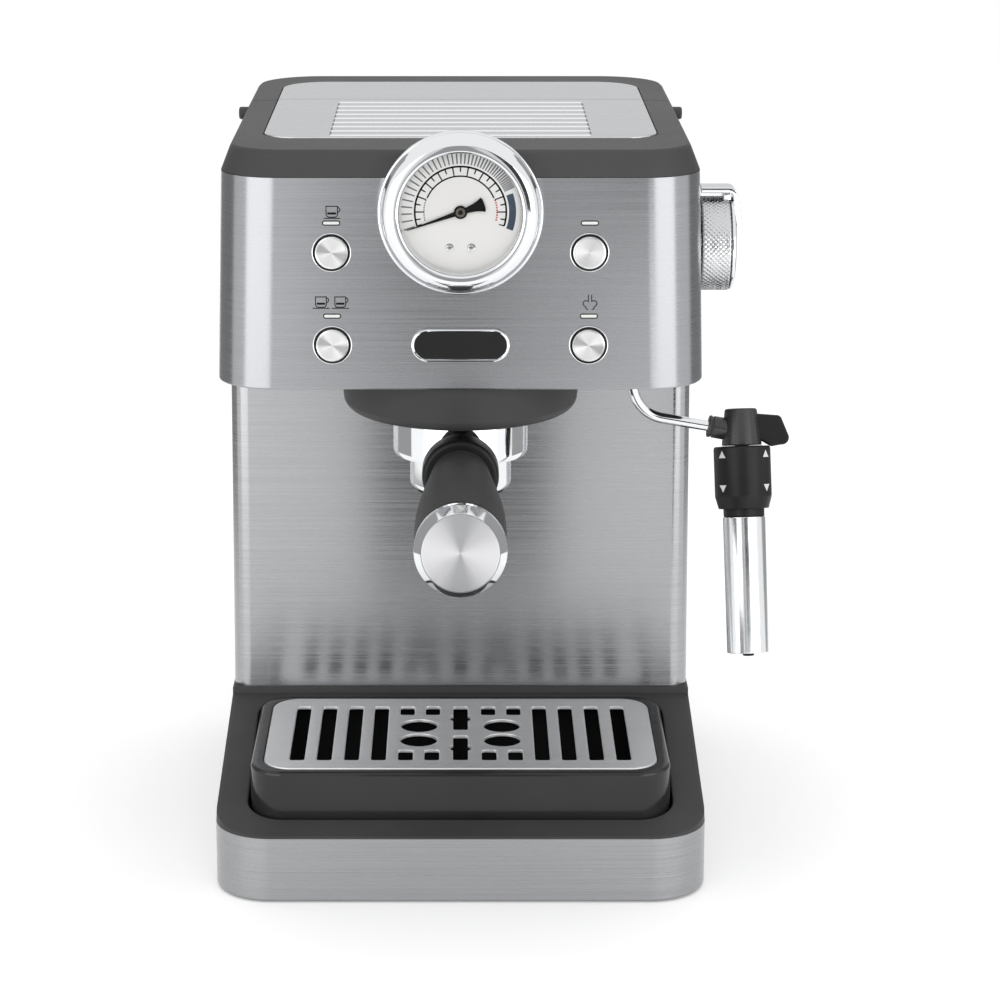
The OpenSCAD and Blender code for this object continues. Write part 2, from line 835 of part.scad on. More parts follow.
module selector_collar() {
    color(black) place() along_frother() difference() {
        union() {
            translate([0, 0, -36.4]) cylinder(r = selector_r, h = 20.7);
            translate([0, 0, -41.7]) cylinder(r1 = 10.5, r2 = selector_r, h = 5.4);
        }
        translate([0, 0, -50]) cylinder(r = 8.56, h = 40);
    }
}

module frother_sleeve() {
    color(chrome) place() along_frother() difference() {
        translate([0, 0, sleeve_low]) cylinder(r = sleeve_r, h = neck_low - sleeve_low - 0.05);
        translate([0, 0, sleeve_low - 1]) cylinder(r = 7.66, h = 80);
    }
}

// ---- drip tray ----

module drip_tray() {
    wall = 2.2;
    color(dark) place() difference() {
        union() {
            prism(pocket_plan(-1), pocket_z, pocket_z + 8);
            prism(pocket_plan(0), pocket_z + 7.9, tray_top);
        }
        prism(pocket_plan(-wall - 1), pocket_z + wall, tray_top - 4);
        prism(plan(grid_half - 2, grid_half - 2, grid_y + 2, grid_y + grid_d - 2, 10, 10),
            pocket_z + wall, tray_top + 1);
        prism(plan(grid_half + 0.3, grid_half + 0.3, grid_y - 0.3, grid_y + grid_d + 0.3, 12.3, 12.3),
            tray_top - grid_t, tray_top + 1);
    }
}

// Straight-sided slot with small corner radii, through the grid.
module slot_z(w, l, x, y) {
    translate([x, y, 0]) prism(plan(w / 2, w / 2, -l / 2, l / 2, 1.3, 1.3), 0, 99);
}

long_slots = [34.8, 46.2, 57.8, 69.3];
short_slots = [12.2, 23.4];

module drip_grid() {
    mid_y = grid_y + grid_d / 2;
    z0 = tray_top - grid_t;
    color(steel) place() difference() {
        prism(plan(grid_half, grid_half, grid_y, grid_y + grid_d, 12, 12), z0, tray_top + 0.2);
        for (s = [-1, 1]) {
            for (x = long_slots) slot_z(slot_w, slot_len, s * x, mid_y);
            for (x = short_slots) slot_z(slot_w, 12.6, s * x, mid_y - slot_len / 2 + 6.3);
            for (x = short_slots) slot_z(slot_w, 11, s * x, mid_y + slot_len / 2 - 5.5);
            for (y = [-9, 9]) rod_z(8, 0, 99, s * 18, mid_y + y);
            slot_z(6.4, 30, 0, mid_y + s * 18.6);
            rod_z(4.7, 0, 99, 0, mid_y + s * 18.6);
        }
    }
}

// ---- tank ----

module water_tank() {
    wall = 2.4;
    low = plan(101.2, 101.2, tank_y, tank_rear, 3, 28);
    high = plan(97.2, 97.2, tank_y, tank_rear, 3, 28);
    low_in = plan(101.2 - wall, 101.2 - wall, tank_y + wall, tank_rear - wall, 1, 26);
    high_in = plan(97.2 - wall, 97.2 - wall, tank_y + wall, tank_rear - wall, 1, 26);
    color("#8d9499", 0.6) place() {
        difference() {
            loft(low, deck_rear_z, high, tank_top);
            loft(low_in, deck_rear_z + 2.6, high_in, tank_top + 1);
            rod_z(6.1, 0, 100, tank_port[0], tank_port[1]);
        }
        // hinge ears behind the top edge
        for (s = [-1, 1], x = [40, 56]) difference() {
            union() {
                rod_x(hinge_r, s * 52 + x - 52, s * 52 + x - 44, hinge_y, hinge_z);
                translate([s * 52 + x - 52, tank_rear - 1, hinge_z - 2.6])
                    cube([8, hinge_y - tank_rear + 1, 2.4]);
            }
            rod_x(pin_r, s * 52 + x - 60, s * 52 + x - 36, hinge_y, hinge_z);
        }
    }
}

module tank_hinge_pins() {
    color(steel) place() for (s = [-1, 1])
        rod_x(pin_r - 0.02, s * 52 - 12, s * 52 + 12, hinge_y, hinge_z);
}

module tank_valve() {
    color(black) place() translate([tank_port[0], tank_port[1], 0]) {
        rod_z(5.9, deck_rear_z + 0.3, deck_rear_z + 4);
        rod_z(8.5, deck_rear_z + 2.8, deck_rear_z + 5);
        rod_z(4, deck_rear_z + 4.9, deck_rear_z + 12);
    }
}

module tank_lid() {
    color(dark) place() {
        difference() {
            union() {
                crown_shell();
                intersection() {
                    crown(1, 1);
                    slab(99, seam_y + lid_gap, seam_y + lid_gap + 2.4, head_high + 0.3, top_z - 2.4);
                }
                // finger lugs at the sides
                for (s = [-1, 1]) translate([s * 96, 167, head_high + 2.9])
                    rotate([0, 90 * s, 0]) rod_z(2.8, -3, 2.7);
            }
            slab(150, -50, seam_y + lid_gap, 0, 500);
            slab(150, 0, 300, 0, head_high + 0.05);
        }
        // hinge barrels
        for (s = [-1, 1]) difference() {
            union() {
                rod_x(hinge_r, s * 52 - 3.8, s * 52 + 3.8, hinge_y, hinge_z);
                translate([s * 52 - 3.8, body_d - 1.8, hinge_z + 1.05])
                    cube([7.6, hinge_y - body_d + 1.8, 1.5]);
            }
            rod_x(pin_r + 0.05, s * 52 - 9, s * 52 + 9, hinge_y, hinge_z);
        }
    }
}

module tank_lid_plate() {
    color(steel) place() warmer_sheet(seam_y + lid_gap, 400);
}

// ---- portafilter ----

module portafilter_body() {
    color(chrome) place() {
        difference() {
            union() {
                at_group() {
                    rod_z(ring_r, ring_low, ring_high);
                    rod_z(bowl_r, bowl_low, ring_low + 1);
                    intersection() {
                        rod_z(lug_r, lug_low, ring_high - 0.2);
                        for (a = [-15, 165]) rotate([0, 0, a]) translate([0, 0, 200])
                            linear_extrude(20) polygon([[0, 0], [60, -20], [60, 20]]);
                    }
                }
                intersection() {
                    along_handle() cylinder(r = 9, h = 34);
                    slab(60, -50, group_y - bowl_r + 2, 0, 400);
                }
            }
            at_group() {
                rod_z(26.3, ring_low + 3, 240);
                rod_z(bowl_r - 2.2, bowl_low + 2.2, 240);
                rod_z(3, 150, 200);
            }
        }
    }
}

module filter_basket() {
    color(steel) place() at_group() difference() {
        union() {
            rod_z(26.2, ring_low + 4, ring_high + 0.5);
            rod_z(27.6, ring_high + 0.02, ring_high + 0.7);
        }
        rod_z(25.6, ring_low + 4.8, 240);
        for (k = [1:3], i = [0:k * 6 - 1])
            rotate([0, 0, i * 60 / k]) rod_z(0.7, 150, 220, k * 6, 0, $fn = 16);
    }
}

module twin_spout() {
    color(black) place() at_group() difference() {
        union() {
            rod_z(8, bowl_low - spout_h, bowl_low - 0.02);
            translate([-16, -5, bowl_low - spout_h]) cube([32, 10, spout_h - 0.02]);
            for (s = [-1, 1]) rod_z(5, bowl_low - spout_h, bowl_low - 0.02, s * 13.4, 0);
        }
        rod_z(3, bowl_low - 2.8, bowl_low + 1);
        slab(13, -2, 2, bowl_low - 2.8, bowl_low - 1.4);
        for (s = [-1, 1]) rod_z(2.4, bowl_low - 9, bowl_low - 1.4, s * 13.6, 0);
    }
}

ferrule_in = 32.5;
ferrule_out = 43;

// Handle radius at distance s, slim at the ferrule and full before the cap.
function grip_r(s) =
    let (t = min(1, (s - ferrule_out) / (grip_end - ferrule_out - 18)))
    12.1 + (cap_r - 12.1) * (0.65 * sin(90 * t) + 0.35 * t * t * (3 - 2 * t));

module handle_ferrule() {
    color(black) place() along_handle() difference() {
        union() {
            translate([0, 0, ferrule_in]) cylinder(r = 15.75, h = ferrule_out - ferrule_in - 1.5);
            translate([0, 0, ferrule_out - 1.5]) cylinder(r1 = 15.75, r2 = 14.4, h = 1.5);
        }
        translate([0, 0, 0]) cylinder(r = 9.02, h = 34.05);
    }
}

module handle_grip() {
    from = ferrule_out + 0.02;
    step = (grip_end + 4 - from) / 16;
    color(dark) place() difference() {
        along_handle() rotate_extrude() polygon(concat(
            [[0, from]],
            [for (i = [0:16]) [grip_r(from + step * i), from + step * i]],
            [[0, grip_end + 4]]
        ));
        along_cap() translate([-30, -30, -0.02]) cube([60, 60, 30]);
    }
}

module handle_cap() {
    color(chrome) place() along_cap() difference() {
        union() {
            cylinder(r = cap_r, h = cap_len - 5.3);
            translate([0, 0, cap_len - 5.3]) cylinder(r1 = cap_r, r2 = cap_r - cap_step, h = 5.3);
        }
        translate([0, 0, cap_len - 0.8]) cylinder(r = cap_r - cap_step - 0.2, h = 2);
    }
}

module handle_disc() {
    color(steel) place() along_cap() translate([0, 0, cap_len - 0.78])
        cylinder(r = cap_r - cap_step - 0.25, h = 0.6);
}

base_band();
base_deck();
tray_well();
base_plate();
feet();
base_screws();
cord_inlet();
column_panel();
rear_housing();
head_shell();
head_floor();
top_rim();
cup_warmer_plate();
badge_plate();
gauge_housing();
gauge_bezel();
gauge_dial();
gauge_glass();
dial_screws();
gauge_needle();
button_rings();
indicator_lenses();
button_single();
button_double();
button_power();
button_steam();
control_board();
group_collar();
group_head();
group_gasket();
shower_screen();
boiler();
pump();
pump_mounts();
hoses();
tank_socket();
steam_valve();
wand_gland();
drip_tray();
drip_grid();
water_tank();
tank_hinge_pins();
tank_valve();
tank_lid();
tank_lid_plate();
portafilter_body();
filter_basket();
twin_spout();
handle_ferrule();
handle_grip();
handle_cap();
handle_disc();
steam_knob();
knob_cap();
wand_tube();
wand_elbow();
frother_core();
steam_nozzle();
selector_collar();
frother_sleeve();
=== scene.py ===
# Slim pump espresso machine, dressed over its CAD frame.
# Every shape is drawn in millimetres: x = 0 on the middle plane, y = 0 at the
# front of the base, z = 0 on the table. finishPiece moves it into the row frame.
import math

import bmesh
import bpy
from mathutils import Matrix, Vector


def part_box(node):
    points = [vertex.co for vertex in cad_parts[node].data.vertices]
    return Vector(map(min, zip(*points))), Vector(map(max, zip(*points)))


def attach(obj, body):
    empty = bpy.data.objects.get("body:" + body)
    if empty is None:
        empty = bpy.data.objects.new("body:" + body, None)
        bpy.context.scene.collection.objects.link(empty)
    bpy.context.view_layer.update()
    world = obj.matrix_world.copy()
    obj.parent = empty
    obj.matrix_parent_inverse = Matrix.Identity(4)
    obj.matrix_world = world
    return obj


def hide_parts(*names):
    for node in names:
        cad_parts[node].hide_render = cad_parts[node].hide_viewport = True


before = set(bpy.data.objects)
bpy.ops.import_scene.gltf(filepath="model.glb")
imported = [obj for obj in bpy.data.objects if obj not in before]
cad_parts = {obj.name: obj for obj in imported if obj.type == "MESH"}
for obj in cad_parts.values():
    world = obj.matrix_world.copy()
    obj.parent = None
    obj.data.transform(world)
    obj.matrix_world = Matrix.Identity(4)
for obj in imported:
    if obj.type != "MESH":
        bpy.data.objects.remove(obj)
scene = bpy.context.scene
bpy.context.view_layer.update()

bandLow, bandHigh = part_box("base_band")
toRow = Matrix.Translation(((bandLow.x + bandHigh.x) / 2, bandLow.y, 0)) @ Matrix.Scale(0.001, 4)

print("camera and studio")
studio = {
    "cameraAt": (0, -1150, 495.1),
    "tiltDown": 14.6,
    "lens": 106.67,
    "shift": (0.0395, -0.05),
    "roomLight": 0.86,
    "floorHalf": 6.0,
    "floorLift": 0.19,
    "paper": (0.92, 0.92, 0.92, 1),
    "lampsFace": (0, 0.05, 0.2),
}
cameraData = bpy.data.cameras.new("camera")
cameraData.lens = studio["lens"]
cameraData.sensor_width = 36
cameraData.shift_x, cameraData.shift_y = studio["shift"]
camera = bpy.data.objects.new("camera", cameraData)
camera.location = toRow @ Vector(studio["cameraAt"])
camera.rotation_euler = (math.radians(90 - studio["tiltDown"]), 0, 0)
scene.collection.objects.link(camera)
scene.camera = camera
scene.view_settings.view_transform = "Standard"


def linear(colour):
    parts = [int(colour[i : i + 2], 16) / 255 for i in (1, 3, 5)]
    return [c / 12.92 if c <= 0.04045 else ((c + 0.055) / 1.055) ** 2.4 for c in parts] + [1.0]


# A socket that is given another node's output is linked, and any other is set.
def setSockets(tree, node, sockets):
    for name, value in sockets.items():
        if isinstance(value, bpy.types.NodeSocket):
            tree.links.new(value, node.inputs[name])
        else:
            node.inputs[name].default_value = value


def addNode(tree, kind, settings, sockets):
    node = tree.nodes.new(kind)
    for name, value in settings.items():
        setattr(node, name, value)
    setSockets(tree, node, sockets)
    return node


# Gives the material, its tree and shader, and the place on the object that its patterns read.
def startFinish(name, colour, sockets):
    material = bpy.data.materials.new(name)
    material.use_nodes = True
    tree = material.node_tree
    shader = tree.nodes["Principled BSDF"]
    setSockets(tree, shader, {"Base Color": linear(colour), **sockets})
    where = addNode(tree, "ShaderNodeTexCoord", {}, {})
    return material, tree, shader, where.outputs["Object"]


# Empties the node tree of a material or world, for a shader that isn't the principled one.
def emptyTree(owner):
    owner.use_nodes = True
    owner.node_tree.nodes.clear()
    return owner.node_tree


def setRamp(node, stops):
    ramp = node.color_ramp
    while len(ramp.elements) < len(stops):
        ramp.elements.new(1.0)
    for element, (position, colour) in zip(ramp.elements, stops):
        element.position = position
        element.color = linear(colour)


# Rolled sheet with a belt-sanded grain: fine streaks one way, and reflections drawn out across them.
def brushedSheet(name, dark, light, across, rough, axis="Z", turn=0.25, aniso=0.72):
    material, tree, shader, where = startFinish(
        name, light, {"Metallic": 1.0, "Anisotropic": aniso, "Anisotropic Rotation": turn}
    )
    stretch = addNode(tree, "ShaderNodeMapping", {}, {"Vector": where, "Scale": across})
    grain = addNode(
        tree, "ShaderNodeTexNoise", {},
        {"Vector": stretch.outputs["Vector"], "Scale": 1.0, "Detail": 4.0, "Roughness": 0.7},
    )
    streak = grain.outputs["Fac"]
    tone = addNode(tree, "ShaderNodeValToRGB", {}, {"Fac": streak})
    setRamp(tone, [(0.32, dark), (0.68, light)])
    dull = addNode(
        tree, "ShaderNodeMapRange", {},
        {"Value": streak, "From Min": 0.3, "From Max": 0.7, "To Min": rough - 0.05, "To Max": rough + 0.06},
    )
    ridge = addNode(tree, "ShaderNodeBump", {}, {"Height": streak, "Strength": 0.06, "Distance": 0.00008})
    around = addNode(tree, "ShaderNodeTangent", {"direction_type": "RADIAL", "axis": axis}, {})
    setSockets(
        tree, shader,
        {
            "Base Color": tone.outputs["Color"], "Roughness": dull.outputs["Result"],
            "Normal": ridge.outputs["Normal"], "Tangent": around.outputs["Tangent"],
        },
    )
    return material


# Face turned on a lathe: its fine rings stand the light in a bow tie, which is painted into the colour as two
# soft darker wedges through the centre, a painted reflection, with the rings as a faint relief.
def turnedFace(name, paintedDarkWedge, light, centre, lean, ring=0.0007, rough=0.3):
    material, tree, shader, where = startFinish(
        name, light, {"Metallic": 1.0, "Roughness": rough, "Anisotropic": 0.6, "Anisotropic Rotation": 0.25}
    )
    upright = Matrix.Rotation(math.radians(lean), 3, "Z") @ Matrix.Rotation(math.radians(-90), 3, "X")
    centred = addNode(
        tree, "ShaderNodeMapping", {"vector_type": "POINT"},
        {
            "Vector": where, "Location": -(upright @ centre),
            "Rotation": (math.radians(-90), 0, math.radians(lean)),
        },
    )
    flat = addNode(
        tree, "ShaderNodeMapping", {"vector_type": "POINT"},
        {"Vector": centred.outputs["Vector"], "Scale": (1, 1, 0)},
    )
    reach = addNode(tree, "ShaderNodeVectorMath", {"operation": "LENGTH"}, {0: flat.outputs["Vector"]})
    rings = addNode(
        tree, "ShaderNodeTexNoise", {"noise_dimensions": "1D"},
        {"W": reach.outputs["Value"], "Scale": 1.0 / ring, "Detail": 3.0, "Roughness": 0.7},
    )
    around = addNode(
        tree, "ShaderNodeTexGradient", {"gradient_type": "RADIAL"}, {"Vector": flat.outputs["Vector"]}
    )
    tone = addNode(tree, "ShaderNodeValToRGB", {}, {"Fac": around.outputs["Fac"]})
    # Painted reflection: two darker wedges opposite each other round the centre, with the light colour
    # between them.
    paintedBowTie = [(0, paintedDarkWedge), (0.035, paintedDarkWedge), (0.10, light), (0.40, light), (0.465, paintedDarkWedge)]
    setRamp(tone, paintedBowTie + [(1 - position, colour) for position, colour in reversed(paintedBowTie)])
    ridge = addNode(
        tree, "ShaderNodeBump", {}, {"Height": rings.outputs["Fac"], "Strength": 0.06, "Distance": 0.00005}
    )
    tangent = addNode(tree, "ShaderNodeTangent", {"direction_type": "RADIAL", "axis": "Y"}, {})
    setSockets(
        tree, shader,
        {
            "Base Color": tone.outputs["Color"], "Normal": ridge.outputs["Normal"],
            "Tangent": tangent.outputs["Tangent"],
        },
    )
    return material


# Electroplated nickel and chromium over a polished body, with the faint haze of handling.
def platedChrome(name, colour, rough):
    material, tree, shader, where = startFinish(name, colour, {"Metallic": 1.0})
    haze = addNode(tree, "ShaderNodeTexNoise", {}, {"Vector": where, "Scale": 90.0, "Detail": 3.0})
    dull = addNode(
        tree, "ShaderNodeMapRange", {},
        {
            "Value": haze.outputs["Fac"], "From Min": 0.35, "From Max": 0.7, "To Min": rough,
            "To Max": rough + 0.05,
        },
    )
    setSockets(tree, shader, {"Roughness": dull.outputs["Result"]})
    return material


# Injection-moulded plastic: the tool's eroded grain, drawn a little coarse so that it shows.
# A textured skin sends back less of the room than a polished one, so its specular level is low.
def mouldedPlastic(name, dark, light, rough, grainSize=0.0006, relief=0.25, gloss=0.2):
    material, tree, shader, where = startFinish(name, light, {"IOR": 1.53, "Specular IOR Level": gloss})
    grain = addNode(tree, "ShaderNodeTexNoise", {}, {"Vector": where, "Scale": 1 / grainSize, "Detail": 2.0})
    drift = addNode(tree, "ShaderNodeTexNoise", {}, {"Vector": where, "Scale": 22.0, "Detail": 2.0})
    tone = addNode(tree, "ShaderNodeValToRGB", {}, {"Fac": drift.outputs["Fac"]})
    setRamp(tone, [(0.35, dark), (0.65, light)])
    pit = grain.outputs["Fac"]
    dull = addNode(
        tree, "ShaderNodeMapRange", {},
        {"Value": pit, "From Min": 0.35, "From Max": 0.65, "To Min": rough - 0.05, "To Max": rough + 0.05},
    )
    pits = addNode(tree, "ShaderNodeBump", {}, {"Height": pit, "Strength": relief, "Distance": 0.00005})
    setSockets(
        tree, shader,
        {
            "Base Color": tone.outputs["Color"], "Roughness": dull.outputs["Result"],
            "Normal": pits.outputs["Normal"],
        },
    )
    return material


print("finishes")
grainLevel, grainAcross = (9, 9, 2200), (9, 2200, 9)  # streaks about 0.5 mm wide and 110 mm long
steelName = "brushed stainless, grain level"
frontSteel = brushedSheet(steelName, "#a2a3a5", "#b0b1b3", grainLevel, 0.25)  # mirrors the tray, streaked
bandSteel = brushedSheet(steelName + ", base band", "#9d9ea0", "#a8a9ab", grainLevel, 0.28)  # duller (rougher), and darker: a copy of the steel with painted shade
headSteel = brushedSheet(steelName + ", darker painted shade", "#9c9da0", "#a6a7aa", grainLevel, 0.26)  # cooler, and darker: a copy of the steel with painted shade
acrossGrain = {"axis": "X", "turn": 0.0}
topSteel = brushedSheet(
    "brushed stainless, grain across", "#d2d3d5", "#dcdddf", grainAcross, 0.26, aniso=0.5, **acrossGrain
)
# Near-white grid bars, brighter than stainless: a painted highlight that stands for their bright reflection.
gridSteel = brushedSheet(
    "stainless, near white: painted highlight", "#f2f3f4", "#fafafb", grainAcross, 0.5, aniso=0.0, **acrossGrain
)
ribSteel = platedChrome("pressed stainless, polished crest", "#f4f5f6", 0.22)  # bright line on each crest
chrome = platedChrome("polished chrome plate", "#e8eaec", 0.05)  # sharp, high-contrast mirror
softChrome = platedChrome("satin chrome plate", "#e6e8ea", 0.16)  # mirror with soft edges
knurlSteel = platedChrome("knurled stainless", "#d2d3d4", 0.2)  # each diamond catches its own glint
darkAbs = mouldedPlastic("moulded ABS, dark grey", "#404040", "#464646", 0.5)  # even, matt
elbowAbs = mouldedPlastic("polished ABS, dark grey", "#2e2e2e", "#343434", 0.26, relief=0.08, gloss=0.45)
trayAbs = mouldedPlastic("polished ABS, charcoal", "#262626", "#2c2c2c", 0.14, relief=0.04, gloss=0.35)
blackAbs = mouldedPlastic("moulded ABS, black", "#191919", "#202020", 0.36)  # deep, with a dull shine
softBlack = mouldedPlastic("moulded thermoplastic rubber", "#363636", "#3e3e3e", 0.58, relief=0.4)  # dry
feetRubber = mouldedPlastic("moulded nitrile rubber", "#222222", "#2b2b2b", 0.72, relief=0.5)  # no shine
dialPaint = mouldedPlastic("stoved enamel, warm white", "#ebeae8", "#f0efed", 0.4, relief=0.05)
inkSkin = {"relief": 0.05, "gloss": 0.08}  # flat and shineless on the enamel
blackInk = mouldedPlastic("screen ink, black", "#101011", "#151516", 0.6, **inkSkin)
# Grey ink for the dial print, also used for the painted shadow lines at the rib ends.
greyInkAndShadow = mouldedPlastic("screen ink, grey, also painted shadow", "#6d7074", "#777a7e", 0.6, **inkSkin)
slateInk = mouldedPlastic("screen ink, slate", "#3f4a59", "#475362", 0.6, **inkSkin)
redInk = mouldedPlastic("screen ink, red", "#b5383a", "#c04244", 0.6, **inkSkin)
paleInk = mouldedPlastic("pad-printed ink, white", "#dedede", "#e8e8e8", 0.5, relief=0.05)
silverInk = mouldedPlastic("pad-printed ink, silver grey", "#a2a2a2", "#adadad", 0.5, relief=0.05)
hubPaint = mouldedPlastic("moulded acetal, brown grey", "#5b534c", "#665e56", 0.4, relief=0.05)
lampPaint = mouldedPlastic("moulded polycarbonate lens", "#e6e7e4", "#f1f2ef", 0.22, relief=0.03)  # milky
siliconeRubber = mouldedPlastic("moulded silicone rubber", "#b9b3a6", "#c6c0b4", 0.45, relief=0.2)
castAluminium = mouldedPlastic(
    "die-cast aluminium, shot blasted", "#9a9c9f", "#abadb0", 0.42, grainSize=0.0008, relief=0.5
)
castAluminium.node_tree.nodes["Principled BSDF"].inputs["Metallic"].default_value = 1.0
brass = platedChrome("machined brass", "#c9a765", 0.2)
boardGreen = mouldedPlastic("solder-masked circuit board", "#23583a", "#2c6a45", 0.3, relief=0.1)
pumpPaint = mouldedPlastic("moulded glass-filled nylon", "#33363a", "#3d4145", 0.5, relief=0.5)


def settled(piece):
    graph = bpy.context.evaluated_depsgraph_get()
    mesh = bpy.data.meshes.new_from_object(
        piece.evaluated_get(graph), preserve_all_data_layers=True, depsgraph=graph
    )
    piece.modifiers.clear()
    return mesh


def linkMesh(bm, name, finishes):
    mesh = bpy.data.meshes.new(name)
    bm.to_mesh(mesh)
    bm.free()
    for finish in finishes:
        mesh.materials.append(finish)
    made = bpy.data.objects.new(name, mesh)
    scene.collection.objects.link(made)
    return made


def weld(bm):
    bmesh.ops.remove_doubles(bm, verts=bm.verts, dist=0.002)  # points within 2 micrometres


# Makes the object from a shape drawn in millimetres, gives it its wall, its edges and its finish,
# and sets it on its body. covers names the CAD nodes that it stands for.
def finishPiece(
    bm, name, body, finishes, covers=(), wall=0.0, edge=0.0, edgeSteps=2, edgeAngle=30, crease=35
):
    weld(bm)
    bmesh.ops.recalc_face_normals(bm, faces=bm.faces)
    bm.transform(toRow)
    piece = linkMesh(bm, name, finishes)
    if wall:
        sheet = piece.modifiers.new("wall", "SOLIDIFY")
        sheet.thickness, sheet.offset = wall / 1000, -1
    if edge:
        rounding = piece.modifiers.new("edge", "BEVEL")
        rounding.width, rounding.segments = edge / 1000, edgeSteps
        rounding.limit_method, rounding.angle_limit = "ANGLE", math.radians(edgeAngle)
    if wall or edge:
        piece.data = settled(piece)
    piece.data.shade_smooth()
    piece.data.set_sharp_from_angle(angle=math.radians(crease))
    flatten = piece.modifiers.new("normals", "WEIGHTED_NORMAL")
    flatten.keep_sharp = True
    piece.data = settled(piece)
    piece.data.name = name
    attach(piece, body)
    if covers:
        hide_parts(*covers)


def moved(x, y, z):
    return Matrix.Translation((x, y, z))


def tilted(degrees, axis):
    return Matrix.Rotation(math.radians(degrees), 4, axis)


# A plan is (half width in front, half width behind, front y, rear y, front corner radius,
# rear corner radius).
def shrunk(plan, by):
    front, rear, yFront, yRear, rFront, rRear = plan
    return (front - by, rear - by, yFront + by, yRear - by, max(rFront - by, 0.3), max(rRear - by, 0.3))


# Plan of a straight slot with round ends, which lie a little short of meeting.
def slotPlan(half, tall, inset=0.0, middle=0.0, short=0.02):
    corner = tall - inset - short
    return (half - inset, half - inset, middle - tall + inset, middle + tall - inset, corner, corner)


# Leaves the face's outline, and gives its edges.
def openFace(bm, face):
    edges = list(face.edges)
    bmesh.ops.delete(bm, geom=[face], context="FACES_ONLY")
    return edges


def planRing(bm, plan, z, steps=8, at=Matrix()):
    front, rear, yFront, yRear, rFront, rRear = plan
    corners = [
        bm.verts.new(at @ Vector(p))
        for p in ((-front, yFront, z), (front, yFront, z), (rear, yRear, z), (-rear, yRear, z))
    ]
    bm.faces.new(corners)
    for pair, radius in ((corners[:2], rFront), (corners[2:], rRear)):
        cut = bmesh.ops.bevel(
            bm, geom=pair, offset=radius, segments=steps, profile=0.5, affect="VERTICES", material=-1
        )
    return openFace(bm, cut["verts"][0].link_faces[0])


def roundRing(bm, x, y, radius, z, at=Matrix()):
    made = bmesh.ops.create_circle(bm, cap_ends=False, segments=48, radius=radius, matrix=at @ moved(x, y, z))
    return list({e for v in made["verts"] for e in v.link_edges})


# The corners of a ring of edges, and the middle of them.
def cornersOf(ring):
    verts = list({v for e in ring for v in e.verts})
    return verts, sum((v.co for v in verts), Vector()) / len(verts)


# Bridges ring to ring. The second ring is held 5 mm away while the faces are made, because
# rings that lie in one plane would pair up the wrong way round.
def joinRings(bm, rings, closed=False):
    pairs = list(zip(rings, rings[1:])) + ([(rings[-1], rings[0])] if closed else [])
    for low, high in pairs:
        verts, middle = cornersOf(high)
        spokes = [v.co - middle for v in verts]
        normal = max((spoke.cross(spokes[0]) for spoke in spokes), key=lambda n: n.length).normalized()
        away = normal * 5
        if away.dot(middle - cornersOf(low)[1]) < 0:
            away.negate()
        bmesh.ops.translate(bm, verts=verts, vec=away)
        bmesh.ops.bridge_loops(bm, edges=low + high)
        bmesh.ops.translate(bm, verts=verts, vec=-away)


# Solid stacked from plans at their heights; hollow=True joins the last ring to the first.
def stacked(bm, levels, steps=8, at=Matrix(), capLow=True, capHigh=True, hollow=False):
    rings = [planRing(bm, plan, z, steps, at) for plan, z in levels]
    joinRings(bm, rings, hollow)
    if not hollow:
        for ring, wanted in ((rings[0], capLow), (rings[-1], capHigh)):
            if wanted:
                bmesh.ops.edgeloop_fill(bm, edges=ring)


def fillBetween(bm, rings, normal=(0, 0, 1)):
    bmesh.ops.triangle_fill(bm, edges=[e for ring in rings for e in ring], use_beauty=True, normal=normal)


def sweep(bm, geom, centre, axis, degrees, steps):
    return bmesh.ops.spin(
        bm, geom=geom, cent=centre, axis=axis, angle=math.radians(degrees), steps=steps,
        use_merge=degrees == 360, use_duplicate=False,
    )


# Sweeps one face round the upright axis of a placing.
def sweepFace(bm, corners, at, degrees, steps):
    face = bm.faces.new(corners)
    sweep(bm, [face, *face.edges, *corners], at.translation, at.to_3x3() @ Vector((0, 0, 1)), degrees, steps)


# Lathe: profile points are (radius, height along the axis).
def turned(bm, profile, steps=96, at=Matrix(), closed=False):
    points = [bm.verts.new(at @ Vector((r, 0, h))) for r, h in profile]
    lines = [bm.edges.new(pair) for pair in zip(points, points[1:])]
    if closed:
        lines.append(bm.edges.new((points[-1], points[0])))
    sweep(bm, points + lines, at.translation, at.to_3x3() @ Vector((0, 0, 1)), 360, steps)


# A piece that is one turned shape in one finish.
def turnedPiece(profile, steps, at, name, body, finish, covers=(), closed=True, crease=35):
    bm = bmesh.new()
    turned(bm, profile, steps, at, closed)
    finishPiece(bm, name, body, [finish], covers, crease=crease)


def arcPoints(cx, cy, r, start, end, steps=6):
    angles = [math.radians(start + (end - start) * i / steps) for i in range(steps + 1)]
    return [(cx + r * math.cos(angle), cy + r * math.sin(angle)) for angle in angles]


def paintNew(bm, before, finish):
    for made in set(bm.faces) - before:
        made.material_index = finish


# Flat band on a clock face: angles run clockwise from the top.
def clockBand(bm, inner, outer, start, end, low, high, at, finish=0, steps=1):
    before = set(bm.faces)
    turn = tilted(-start, "Z")
    corners = [
        bm.verts.new(at @ turn @ Vector((0, r, h)))
        for r, h in ((inner, low), (outer, low), (outer, high), (inner, high))
    ]
    sweepFace(bm, corners, at, start - end, steps)
    paintNew(bm, before, finish)


def block(bm, low, high, at=Matrix(), finish=0):
    before = set(bm.faces)
    size = [b - a for a, b in zip(low, high)]
    middle = [(a + b) / 2 for a, b in zip(low, high)]
    bmesh.ops.create_cube(bm, size=1, matrix=at @ Matrix.Translation(middle) @ Matrix.Diagonal((*size, 1)))
    paintNew(bm, before, finish)


def kindOf(geom, kind):
    return [part for part in geom if isinstance(part, kind)]


